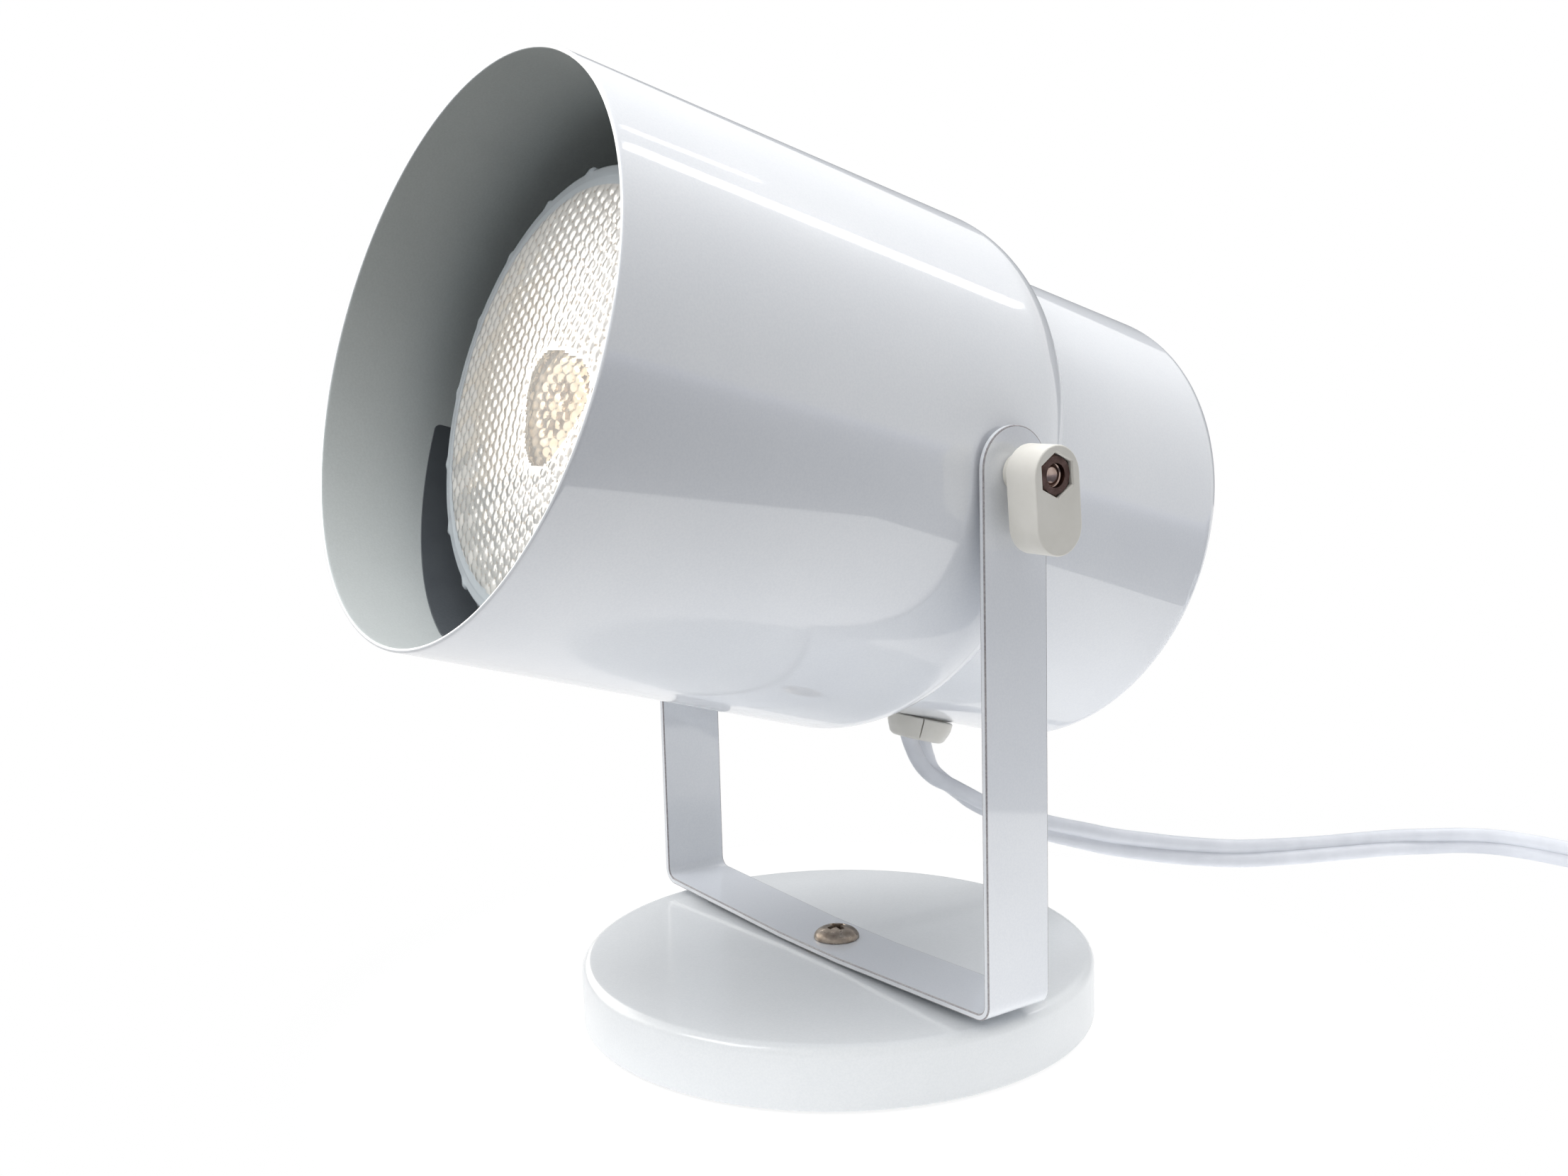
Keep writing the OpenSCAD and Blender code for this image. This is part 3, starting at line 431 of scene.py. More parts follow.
coil_high = 14*MM
tail_turn = 75
tail_steps = 14
tail_spread = 14*MM
fall_start, roll_start = 0.35, 0.2
plug_height = 7.3*MM


def ease(share):
    """0 to 1 with a soft start and a soft end."""
    share = min(max(share, 0), 1)
    return share*share*(3 - 2*share)


def coil_point(angle, radius, height):
    """A point of the coil; it starts on the side towards the lamp's front and runs anticlockwise."""
    turn = radians(angle - 90)
    return coil_middle + Vector((radius*cos(turn), radius*sin(turn), height))


def smooth_line(points, steps):
    """The points with steps - 1 more between each two, on one smooth curve through them all."""
    line = []
    for i in range(len(points) - 1):
        before = points[max(i - 1, 0)]
        here, there = points[i], points[i + 1]
        after = points[min(i + 2, len(points) - 1)]
        for k in range(steps):
            u = k/steps
            line.append(0.5*(2*here + u*(there - before) + u*u*(2*before - 5*here + 4*there - after)
                             + u**3*(3*here - before - 3*there + after)))
    return line + [points[-1]]


lead_in = coil_point(0, coil_outer, coil_low) - Vector((cord_width, 0, 0))
gripped = cord_exit + (cord_exit - Vector(cord_rows[0][0])*MM)
down = Vector((0, 0, -1))
route = smooth_line([gripped, cord_exit] + [Vector(row[0])*MM for row in cord_rows] + [lead_in], 4)
edges = smooth_line([Vector((0, 1, 0))]*2 + [Vector(row[1]) for row in cord_rows] + [down], 4)
half_way = 180*coil_turns
for step in range(coil_turns*coil_steps + 1):
    angle = 360*step/coil_steps
    radius = coil_inner + coil_pitch*abs(angle - half_way)/360
    rise = (coil_high - coil_low)*ease((angle - half_way + 90)/180)
    route.append(coil_point(angle, radius, coil_low + rise))
    edges.append(down)
for step in range(1, tail_steps + 1):
    u = step/tail_steps
    angle = 2*half_way + tail_turn*u
    fall = (plug_height - coil_high)*ease((u - fall_start)/(1 - fall_start))
    route.append(coil_point(angle, coil_outer + tail_spread*ease(u), coil_high + fall))
    roll = radians(90)*ease((u - roll_start)/(1 - roll_start))
    outward = coil_point(angle, 1, 0) - coil_middle
    edges.append(down*cos(roll) - outward*sin(roll))
plug_turn = radians(tail_turn - 90)
plug_way = Vector((-sin(plug_turn), cos(plug_turn), 0))
plug_start = route[-1] + cord_width*plug_way
route.append(plug_start)
edges.append(edges[-1])

lobe = cord_thick/2
groove_depth = 0.42*lobe
right_lobe = arc((cord_width/2 - lobe, 0), lobe, -150, 150, 15)
twin_section = right_lobe + [(0, groove_depth)] + [(-x, -y) for x, y in right_lobe] + [(0, -groove_depth)]


def swept(line, ups, section):
    """A bmesh of a closed section (across, through) swept along line; ups face the section's first way."""
    made = bmesh.new()
    rings = []
    for i, point in enumerate(line):
        way = (line[min(i + 1, len(line) - 1)] - line[max(i - 1, 0)]).normalized()
        across = (ups[i] - way*ups[i].dot(way)).normalized()
        through = way.cross(across)
        rings.append([made.verts.new(point + x*across + y*through) for x, y in section])
    bridge(made, rings)
    made.faces.new(rings[0])
    made.faces.new(rings[-1])
    return made


# Moulded group: plastic, rubber or fired clay with a faint clouding and a fine moulded grain
moulded_tree, moulded_in, moulded_out = skin_group("moulded_skin", "Body", "Aged", "Grain", "Smooth", "Rough")
stains = spread(moulded_tree, noise(moulded_tree, 130, 4), 0, 1)
pits = noise(moulded_tree, moulded_in["Grain"], 2)
end_skin(moulded_tree, moulded_in, moulded_out, stains, pits, pits)


def moulded(name, *values, bump=None, **plain):
    """A finish of moulded skin."""
    return finish(name, moulded_tree, values, plain, bump)


white_vinyl = moulded("white_vinyl", (0.77, 0.79, 0.84), (0.71, 0.73, 0.78), 700, 0.28, 0.4, IOR=1.5)
cord = keep("twin_cord", swept(route, edges, twin_section), None, [white_vinyl], crease=50)
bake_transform(cord)
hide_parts("cord_drop", "cord_floor", "cord_coil")


# Weight, pad and the nut under them: a cast iron disc in the pan, a rubber pad that covers the bottom, and
# a plain steel nut with its lock washer on the swivel screw. They keep their solids.
# Plated group: bare or plated metal with cloudy tarnish and a fine brushed unevenness
metal_tree, metal_in, metal_out = skin_group("plated_metal", "Metal", "Tarnish", "Spread", "Smooth", "Rough")
bloom = noise(metal_tree, 420, 5)
tarnish_share = maths(metal_tree, "MULTIPLY", spread(metal_tree, bloom, 0, 1), metal_in["Spread"])
end_skin(metal_tree, metal_in, metal_out, tarnish_share, bloom, noise(metal_tree, 2600, 2))


def metal(name, *values, bump=None, metallic=1):
    """A finish of plated metal."""
    return finish(name, metal_tree, values, {"Metallic": metallic}, bump)


def dress(material, *names):
    """Gives CAD nodes that keep their solids a finish of their own."""
    for name in names:
        frame["nodes"][name].material_slots[0].material = material


cast_iron = moulded("cast_iron", (0.06, 0.06, 0.062), (0.1, 0.085, 0.075), 500, 0.55, 0.8, Metallic=0.5,
                    bump=0.2*MM)
rubber = moulded("rubber_pad", (0.022, 0.024, 0.026), (0.04, 0.041, 0.042), 1300, 0.7, 0.9, bump=0.1*MM)
bright_steel = metal("bright_steel", (0.62, 0.63, 0.65), (0.42, 0.42, 0.41), 0.7, 0.22, 0.4, bump=0.01*MM)
dress(cast_iron, "base_weight")
dress(rubber, "base_pad")
dress(bright_steel, "swivel_nut", "swivel_lock_washer")


# Swivel washer and the fibre washers at the pivots: punched rings of brown vulcanised fibre that let the
# joints turn stiffly. They lie loose between the painted faces.
fibre = moulded("brown_fibre", (0.26, 0.15, 0.085), (0.17, 0.095, 0.055), 1500, 0.55, 0.75, bump=0.05*MM)


def washer_ring(radius, bore, thick):
    """A flat ring from height 0 to thick with its corners taken off."""
    corner = 0.12*thick
    return turned([(bore, 0), (radius - corner, 0), (radius, corner), (radius, thick - corner),
                   (radius - corner, thick), (bore, thick)], sides=96)


washer_low, washer_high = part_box("swivel_washer")
swivel_ring = washer_ring(washer_high.x, screw_hole, washer_high.z - washer_low.z)
swivel_washer = keep("swivel_fibre_washer", swivel_ring, "base", [fibre],
                     place=Matrix.Translation((0, 0, washer_low.z)))
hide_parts("swivel_washer")


# Swivel screw: a nickel-plated truss-head machine screw with a cross recess, browned with age.
# It holds the yoke to the base and the yoke turns round it.
screw_low, screw_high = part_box("swivel_screw")
screw_radius = 2.5*MM
screw_point = 0.5*MM
head_radius = screw_high.x
head_height = 3*MM
head_seat = screw_high.z - head_height
head_rim = 0.3*MM
recess_top = (2.7*MM, 0.75*MM)
recess_floor = (1.6*MM, 0.5*MM)
recess_over, recess_depth = 0.2*MM, 2*MM


def domed_head(radius, height, rim, steps=16):
    """Half section of a low domed head on height 0: a short straight rim, then an oval crown."""
    turns = [pi/2*k/steps for k in range(steps)]
    crown = [(radius*cos(t), rim + (height - rim)*sin(t)) for t in turns]
    return [(radius - rim/2, 0), (radius, rim/2)] + crown + [(0, height)]


def cross_cutter(top, floor, height, depth):
    """A bmesh of a tapered cross, (reach, half arm) at its top and floor, sunk by depth from height."""
    made = bmesh.new()
    rings = []
    for (reach, arm), z in ((top, height), (floor, height - depth)):
        quarter = [(reach, -arm), (reach, arm), (arm, arm)]
        turns = [Matrix.Rotation(radians(90*k), 2) for k in range(4)]
        rings.append([made.verts.new((*(turn @ Vector(point)), z)) for turn in turns for point in quarter])
    bridge(made, rings)
    for ring in rings:
        made.faces.new(ring)
    bmesh.ops.recalc_face_normals(made, faces=made.faces)
    return made


def carve(piece, cutter_maker, crease=35):
    """Cuts a bmesh shape out of a piece for good."""
    cutter = placed("cutter", made_mesh("cutter", cutter_maker))
    cut = piece.modifiers.new("cut", "BOOLEAN")
    cut.solver = "EXACT"
    cut.object = cutter
    shaped = bpy.data.meshes.new_from_object(piece.evaluated_get(bpy.context.evaluated_depsgraph_get()))
    piece.modifiers.clear()
    piece.data = shaped
    piece.data.name = piece.name
    bpy.data.objects.remove(cutter)
    smooth(piece.data, crease)


old_nickel = metal("old_nickel", (0.30, 0.26, 0.22), (0.12, 0.09, 0.07), 0.8, 0.22, 0.45, bump=0.015*MM)
screw_profile = ([(0, screw_low.z), (screw_radius - screw_point, screw_low.z),
                  (screw_radius, screw_low.z + screw_point), (screw_radius, head_seat)]
                 + [(r, head_seat + h) for r, h in domed_head(head_radius, head_height, head_rim)])
screw = keep("swivel_truss_screw", turned(screw_profile, sides=96), "base", [old_nickel])
carve(screw, cross_cutter(recess_top, recess_floor, screw_high.z + recess_over, recess_depth))
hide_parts("swivel_screw")


# Yoke: one strip of flat steel with round ends, bent up into two legs and slightly dished across the web,
# enamelled white. The screw goes through its middle and a bolt through each leg.
yoke_low, yoke_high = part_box("yoke")
strip_thick = 1.5*MM
strip_width = yoke_high.y - yoke_low.y
strip_edge = 0.3*MM
web_flat = 24*MM
web_rise = 1.7*MM
bend_radius = 2.5*MM + strip_thick/2
leg_middle = yoke_high.x - strip_thick/2
web_middle = yoke_low.z + strip_thick/2
pivot_hole = 2.58*MM
web_slope = atan(web_rise/(leg_middle - bend_radius - web_flat/2))
bend_x = leg_middle - bend_radius
bend_z = (web_middle + tan(web_slope)*(bend_x + bend_radius*sin(web_slope) - web_flat/2)
          + bend_radius*cos(web_slope))
bend_line = arc((bend_x, bend_z), bend_radius, degrees(web_slope) - 90, 0, 14)
half_line = [Vector(point) for point in [(0, web_middle), (web_flat/2, web_middle)] + bend_line
             + [(leg_middle, yoke_high.z)]]
half_reach = [0]
for one, two in zip(half_line, half_line[1:]):
    half_reach.append(half_reach[-1] + (two - one).length)


def along_yoke(x, y, z):
    """Puts a point of the flat strip, x along it from the middle and z above it, on the bent strip."""
    side = 1 if x >= 0 else -1
    reach = min(abs(x), half_reach[-1])
    i = max(k for k in range(len(half_line) - 1) if half_reach[k] <= reach + 1e-9)
    way = (half_line[i + 1] - half_line[i]).normalized()
    point = half_line[i] + way*(reach - half_reach[i])
    if 0 < i and reach - half_reach[i] < 1e-7:
        way = (way + (half_line[i] - half_line[i - 1]).normalized()).normalized()
    return Vector((side*(point.x - z*way.y), y, point.y + z*way.x))


def plate(outline, holes, thick, edge, cuts, bend):
    """A bmesh of a flat sheet with softened edges, split across at each x in cuts, put in place by bend."""
    made = bmesh.new()
    for loop in [outline] + holes:
        corners = [made.verts.new((x, y, -thick/2)) for x, y in loop]
        for one, two in zip(corners, corners[1:] + corners[:1]):
            made.edges.new((one, two))
    bmesh.ops.triangle_fill(made, use_beauty=True, use_dissolve=False, edges=made.edges[:])
    raised = bmesh.ops.extrude_face_region(made, geom=made.faces[:], use_keep_orig=True)["geom"]
    upper = [corner for corner in raised if isinstance(corner, bmesh.types.BMVert)]
    bmesh.ops.translate(made, verts=upper, vec=(0, 0, thick))
    bmesh.ops.recalc_face_normals(made, faces=made.faces)
    rims = [e for e in made.edges if len(e.link_faces) == 2 and e.calc_face_angle() > radians(60)]
    softened = bmesh.ops.bevel(made, geom=rims, offset=edge, segments=3, profile=0.5, affect="EDGES")["faces"]
    for face in softened:
        face.material_index = 1
    for x in cuts:
        bmesh.ops.bisect_plane(made, geom=made.verts[:] + made.edges[:] + made.faces[:], plane_co=(x, 0, 0),
                               plane_no=(1, 0, 0))
    for corner in made.verts:
        corner.co = bend(*corner.co)
    return made


strip_end = half_reach[-1] - strip_width/2
pivot_reach = half_reach[-1] - (yoke_high.z - pivot.z)
right_end = arc((strip_end, 0), strip_width/2, -90, 90, 24)
round_ends = right_end + [(-x, -y) for x, y in right_end]
yoke_cuts = [side*reach for reach in half_reach[1:-1] for side in (1, -1)] + [0]
yoke_holes = [circle(x, 0, pivot_hole) for x in (0, pivot_reach, -pivot_reach)]
yoke_sheet = plate(round_ends, yoke_holes, strip_thick, strip_edge, yoke_cuts, along_yoke)
# The strip's softened edges get a dark grey coat, darker than its faces
dark_edge_enamel = finish("dark_edge_enamel", enamel_tree, [(0.42, 0.40, 0.40), (0.2, 0.18, 0.2), 0.3, 0.45],
                     {"Coat Weight": 0.5, "Coat Roughness": 0.1, "IOR": 1.5})
yoke = keep("bent_yoke", yoke_sheet, "yoke", [white_enamel, dark_edge_enamel], crease=12)
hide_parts("yoke")


# Hood: a spun steel tube, open in front, drawn in behind to a short collar that slips into the can.
# White enamel outside; inside, a greyer coat, darkened from the outside white as painted shade.
hood_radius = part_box("hood")[1].x
hood_wall = 1*MM
hood_inside = hood_radius - hood_wall
mouth = 100*MM
shoulder_radius = 20*MM
shoulder_start = -6.4*MM
can_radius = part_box("rear_can")[1].x
collar_radius = 55.25*MM
collar_length = 9*MM
shoulder_middle = (hood_radius - shoulder_radius, shoulder_start)
meet_turn = -degrees(acos((can_radius - shoulder_middle[0])/shoulder_radius))
meet = shoulder_start + shoulder_radius*sin(radians(meet_turn))
inner_turn = degrees(asin((meet + hood_wall - shoulder_start)/(shoulder_radius - hood_wall)))
hood_profile = ([(collar_radius - hood_wall, meet - collar_length), (collar_radius, meet - collar_length),
                 (collar_radius, meet)]
                + arc(shoulder_middle, shoulder_radius, meet_turn, 0, 28)
                + [(hood_radius, shoulder_start + hold), (hood_radius, mouth - hood_wall/2 - hold)]
                + arc((hood_radius - hood_wall/2, mouth - hood_wall/2), hood_wall/2, 0, 180, 8)
                + [(hood_inside, mouth - hood_wall/2 - hold), (hood_inside, shoulder_start + hold)]
                + arc(shoulder_middle, shoulder_radius - hood_wall, 0, inner_turn, 14)
                + [(collar_radius - hood_wall, meet + hood_wall)])
hood_sheet = turned(hood_profile, sides=256)
bmesh.ops.recalc_face_normals(hood_sheet, faces=hood_sheet.faces)
for face in hood_sheet.faces:
    middle = face.calc_center_median()
    if hypot(middle.x, middle.y) < hood_radius - 0.8*hood_wall and middle.z > meet:
        face.material_index = 1 if face.normal.dot(Vector((middle.x, middle.y, 0))) < 0 else 0
# Inside the hood the white paint is made darker, as painted shade
shaded_inner_enamel = finish("shaded_inner_enamel", enamel_tree, [(0.585, 0.618, 0.618), (0.525, 0.557, 0.557), 0.5, 0.65],
                     {"IOR": 1.5}, bump=0.03*MM)
hood = keep("spun_hood", hood_sheet, "head", [white_enamel, shaded_inner_enamel], place=head_place)
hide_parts("hood")


# Rear can: a drawn steel cup with a round end edge, enamelled white, pushed over the hood's collar.
# Two screws through its end hold the lamp holder's bracket.
can_end = -79*MM
can_edge = 6*MM
can_wall = 1*MM
can_lip = 0.3*MM
edge_middle = (can_radius - can_edge, can_end + can_edge)
can_profile = ([(0, can_end + can_wall)] + arc(edge_middle, can_edge - can_wall, -90, 0, 8)
               + [(can_radius - can_wall, meet - can_lip), (can_radius - can_wall + can_lip, meet),
                  (can_radius - can_lip, meet), (can_radius, meet - can_lip),
                  (can_radius, can_end + can_edge + hold)]
               + arc(edge_middle, can_edge, 0, -90, 14)
               + [(can_radius - can_edge - hold, can_end), (0, can_end)])
can = keep("drawn_can", turned(can_profile, sides=224), "head", [white_enamel], place=head_place)
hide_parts("rear_can")


# Blank plate: a thin strip of dark grey foil stuck inside the hood, low on the left, left without words.
# It is rolled to the hood's curve and slants a little.
plate_radius = 62.95*MM
plate_thick = 0.3*MM
plate_back, plate_front = 62.5*MM, 75.5*MM
plate_slant = 0.095
plate_turns = (radians(190), radians(252))
plate_corner, plate_edge = 1.5*MM, 0.08*MM
plate_middle = (plate_back + plate_front)/2
plate_half = (plate_radius*(plate_turns[1] - plate_turns[0])/2, (plate_front - plate_back)/2)
plate_steps = 40


def round_box(half_x, half_y, corner, steps=6):
    """Points of a rectangle with round corners, going anticlockwise."""
    points = []
    for quarter, (x, y) in enumerate(((1, 1), (-1, 1), (-1, -1), (1, -1))):
        middle = (x*(half_x - corner), y*(half_y - corner))
        points += arc(middle, corner, 90*quarter, 90*quarter + 90, steps)
    return points


def inside_hood(x, y, z):
    """Rolls the flat foil against the hood's inside."""
    turn = (plate_turns[0] + plate_turns[1])/2 + x/plate_radius
    reach = plate_radius - plate_thick/2 - z
    return Vector((reach*cos(turn), reach*sin(turn), plate_middle + y + plate_slant*x))


grey_foil = moulded("grey_foil", (0.085, 0.095, 0.107), (0.097, 0.107, 0.119), 1800, 0.35, 0.5, bump=0.01*MM)
foil_cuts = [plate_half[0]*(2*k/plate_steps - 1) for k in range(1, plate_steps)]
foil_sheet = plate(round_box(*plate_half, plate_corner), [], plate_thick, plate_edge, foil_cuts, inside_hood)
foil = keep("blank_foil", foil_sheet, "head", [grey_foil], crease=12, place=head_place)
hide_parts("blank_plate")


# Lamp reflector: a pressed glass bowl silvered inside, on a brass screw cap with a black glass insulator.
# The lens is fused to its rim and the whole lamp screws into the holder.
lamp_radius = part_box("lamp_lens")[1].x
lamp_shift, bowl_inset = 3.2*MM, 3.2*MM
lamp_place = head_place @ Matrix.Translation((0, -lamp_shift, 0))
neck_radius = 19*MM
neck_start, bowl_start, bowl_end = 3*MM, 15*MM, 69*MM
bowl_radius = lamp_radius - bowl_inset
bowl_glass = 1.8*MM
bowl_lip = 2*MM
bowl_steps = 28
least_inside = 8*MM
bowl_outer = [(neck_radius + (bowl_radius - neck_radius)*sqrt(k/bowl_steps),
               bowl_start + (bowl_end - bowl_start)*k/bowl_steps) for k in range(bowl_steps + 1)]
bowl_inner = [(max(r - bowl_glass, least_inside), s + bowl_glass*0.4) for r, s in bowl_outer]
bowl_profile = ([(neck_radius, neck_start)] + bowl_outer
                + [(bowl_radius, bowl_end + bowl_lip), (bowl_radius - bowl_glass, bowl_end + bowl_lip)]
                + bowl_inner[::-1] + [(neck_radius - bowl_glass, neck_start)])
silvering = metal("silvering", (0.99, 0.98, 0.95), (0.97, 0.92, 0.84), 0.6, 0.2, 0.32, metallic=0.8)
bowl = keep("silvered_bowl", turned(bowl_profile, sides=128), "head", [silvering], place=lamp_place)
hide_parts("lamp_reflector")

brass = metal("brass", (0.78, 0.58, 0.27), (0.5, 0.35, 0.15), 0.8, 0.22, 0.42, bump=0.01*MM)
black_glass = moulded("black_glass", (0.01, 0.01, 0.012), (0.02, 0.02, 0.022), 400, 0.08, 0.16)
dress(brass, "lamp_cap")
dress(black_glass, "lamp_insulator")
dress(bright_steel, "lamp_contact")


# Lamp burner: a small tungsten-halogen capsule on the lamp's axis behind the lens, its quartz gilded by a
# heat coating. Cemented into the neck.
burner_radius = 6*MM
burner_stem = 3*MM
burner_top = 45*MM
flare_low, flare_in, flare_high = 1*MM, 0.8*MM, 1.5*MM
burner_profile = ([(0, neck_start), (burner_stem, neck_start), (burner_stem, bowl_start - flare_low),
                   (burner_radius - flare_in, bowl_start), (burner_radius, bowl_start + flare_high)]
                  + arc((0, burner_top - burner_radius), burner_radius, 0, 90, 10)[:-1] + [(0, burner_top)])
gilt = metal("gilt_quartz", (0.95, 0.68, 0.33), (0.55, 0.33, 0.12), 1, 0.12, 0.3, metallic=0.8)
burner = keep("lamp_capsule", turned(burner_profile, sides=64), "head", [gilt], place=lamp_place)
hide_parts("lamp_burner")


# Lamp lens: a thick pressed glass cover, stippled on both sides with rows of small round lenses. In a patch
# off the middle some of them are cream, a painted warm reflection; towards the bottom some are dim, painted
# shade;
# and darker dots in the hollows between them on the front are painted shade too. The stipple fades at a clear
# window near the middle and at the rim, where nubs mark the mould. Fused to the reflector.
dome_radius = 48.5*MM
dome_back = 46.1*MM
rim_front, lens_rise = 74*MM, 4*MM
lens_thick = 2.4*MM
lens_ball = (dome_radius**2 + lens_rise**2)/(2*lens_rise)
stipple_pitch = 3.2*MM
stipple_row = stipple_pitch*sqrt(3)
stipple_height = 0.48*MM
front_relief = 0.4*MM
front_smooth, back_smooth = 45*MM, 43.6*MM
fade_width = 2*MM
window_middle, window_radius = Vector((6.3*MM, -3*MM)), 12.4*MM
window_fade = 0.85
window_margin = 5*MM
cream_middle = Vector((-16*MM, 3*MM))
cream_reach, cream_fade = 12*MM, 20*MM
dim_start, dim_fade, dim_share = -8*MM, 24*MM, 0.85
lot_steps, lot_count = (7, 11), 16
clear_border = 46.2*MM
dot_share = 0.2
lens_cells = 170
nub_count = 18
nub_out = 1.3*MM
nub_half_turn = radians(2.6)
# Middle loops of the rim from the front of the lens round to its back: radius, reach and share of a nub
rim_loops = [(49, 73.7, 0), (50.2, 73.75, 0.2), (50.8, 73.4, 0.7), (51.1, 72.7, 1), (51.1, 71.4, 1),
             (51.1, 70.2, 1), (50.8, 69.5, 0.7), (50.1, 69.2, 0.2), (48.6, 69.2, 0), (48.3, 70, 0),
             (48, 71.5, 0)]


def dome(x, y):
    """How far forward the lens's front stands without its stipple."""
    return rim_front + lens_rise - lens_ball + sqrt(lens_ball**2 - x*x - y*y)


def small_lens(x, y):
    """The middle of the small lens that a point of the cover lies in."""
    middles = []
    for shift in (0, 0.5):
        column = round(x/stipple_row - shift) + shift
        line = round(y/stipple_pitch - shift) + shift
        middles.append(Vector((column*stipple_row, line*stipple_pitch)))
    return min(middles, key=lambda middle: (middle - Vector((x, y))).length)


def stipple(x, y):
    """How far the small lens stands up at a point, as a share of 1."""
    off = Vector((x, y)) - small_lens(x, y)
    return 1 - (off.length*sqrt(3)/stipple_pitch)**2


def in_window(spot):
    """How far a spot of the lens lies inside the three-lobed clear window, negative outside it."""
    off = spot - window_middle
    turn = atan2(off.y, off.x)
    return window_radius*(1 + 0.12*sin(3*turn + 0.6)) - off.length


def disc_point(i, j, radius):
    """Point i, j of a square net of cells drawn out to a round disc."""
    u = 2*i/lens_cells - 1
    v = 2*j/lens_cells - 1
    return radius*u*sqrt(1 - v*v/2), radius*v*sqrt(1 - u*u/2)


lens_net = bmesh.new()
nets = []
for back, radius in ((False, dome_radius), (True, dome_back)):
    net = []
    for i in range(lens_cells + 1):
        for j in range(lens_cells + 1):
            x, y = disc_point(i, j, radius)
            fade = 1 - ease((hypot(x, y) - (back_smooth if back else front_smooth))/fade_width)
            fade *= 1 - window_fade*(1 - ease(-in_window(Vector((x, y)))/fade_width))
            height = dome(x, y)
            if back:
                height -= lens_thick + stipple_height*fade*stipple(x, y)
            else:
                height += front_relief*fade*stipple(x, y)
            net.append(lens_net.verts.new((x, y, height)))
    nets.append(net)
    for i in range(lens_cells):
        for j in range(lens_cells):
            k = i*(lens_cells + 1) + j
            cell = lens_net.faces.new((net[k], net[k + lens_cells + 1], net[k + lens_cells + 2], net[k + 1]))
            middle = cell.calc_center_median()
            round_one = small_lens(middle.x, middle.y)
            cream = 1 - ease(((round_one - cream_middle).length - cream_reach)/cream_fade)
            dim = dim_share*ease((dim_start - round_one.y)/dim_fade)
            lot = (round(2*round_one.x/stipple_row)*lot_steps[0]
                   + round(2*round_one.y/stipple_pitch)*lot_steps[1]) % lot_count/lot_count
            if in_window(middle.xy) > (-window_margin if back else 0):
                cell.material_index = 2
            elif middle.xy.length > clear_border:
                cell.material_index = 1
            elif not back and stipple(middle.x, middle.y) < dot_share:
                cell.material_index = 3
            elif lot < cream:
                cell.material_index = 4
            elif lot > 1 - dim:
                cell.material_index = 5
border = ([(i, 0) for i in range(lens_cells)] + [(lens_cells, j) for j in range(lens_cells)]
          + [(i, lens_cells) for i in range(lens_cells, 0, -1)] + [(0, j) for j in range(lens_cells, 0, -1)])
first_row, last_row = [[net[i*(lens_cells + 1) + j] for i, j in border] for net in nets]
rows = [first_row]
for radius, reach, share in rim_loops:
    row = []
    for corner in first_row:
        turn = atan2(corner.co.y, corner.co.x)
        off = (turn*nub_count/tau + 0.5) % 1 - 0.5
        nub = nub_out*share*(1 - ease(abs(off)*tau/nub_count/nub_half_turn))
        out = radius*MM + nub
        row.append(lens_net.verts.new((out*cos(turn), out*sin(turn), reach*MM)))
    rows.append(row)
for face in bridge(lens_net, rows + [last_row]):
    face.material_index = 1


def clear_glass(name, colour, rough, through, coat=0):
    """Glass, plain but for a faint waviness in its surface; coat is the share of an added gloss."""
    material, tree, shader = principled(name, {
        "Base Color": (*colour, 1), "Roughness": rough, "Transmission Weight": through, "IOR": 1.5,
        "Coat Weight": coat, "Coat IOR": 1.9, "Coat Roughness": 0.04})
    relief = node(tree, "Bump", {"Height": noise(tree, 160, 1), "Distance": 0.05*MM})
    tree.links.new(relief, shader["Normal"])
    return material


lens_glass = clear_glass("lens_glass", (1, 0.965, 0.91), 0.06, 0.3, coat=1)
# Cream cells: a painted warm reflection
warm_reflection_glass = clear_glass("warm_reflection_glass", (1, 0.93, 0.83), 0.06, 0.3, coat=1)
# Dim cells towards the bottom: painted shade
painted_shade_glass = clear_glass("painted_shade_glass", (0.74, 0.72, 0.68), 0.06, 0.3, coat=1)
window_glass = clear_glass("window_glass", (1, 0.99, 0.97), 0.02, 1)
# Dots in the hollows between the small lenses: painted shade
shade_dot_glass = clear_glass("shade_dot_glass", (0.68, 0.6, 0.52), 0.1, 0.4)
rim_glass = clear_glass("rim_glass", (0.9, 0.95, 0.99), 0.12, 0.5)
lens = keep("stippled_lens", lens_net, "head",
            [lens_glass, rim_glass, window_glass, shade_dot_glass, warm_reflection_glass, painted_shade_glass],
            crease=60, place=lamp_place)
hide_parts("lamp_lens")

# Gilt patch: a heat mirror of gold leaf, hammered into nuggets, with its hollows between them painted dark
# brown as painted shade. It lies just behind the clear window of the lens.
patch_radius = 16*MM
patch_gap = 0.7*MM
patch_middle = Vector((3.5*MM, -3*MM))
patch_dent = 1.1*MM
dent_pitch = 4*MM
hollow_share = 0.38
patch_rings, patch_sides = 48, 144
middle_ring = 0.2
patch = bmesh.new()
patch_loops = []
dents_at = {}
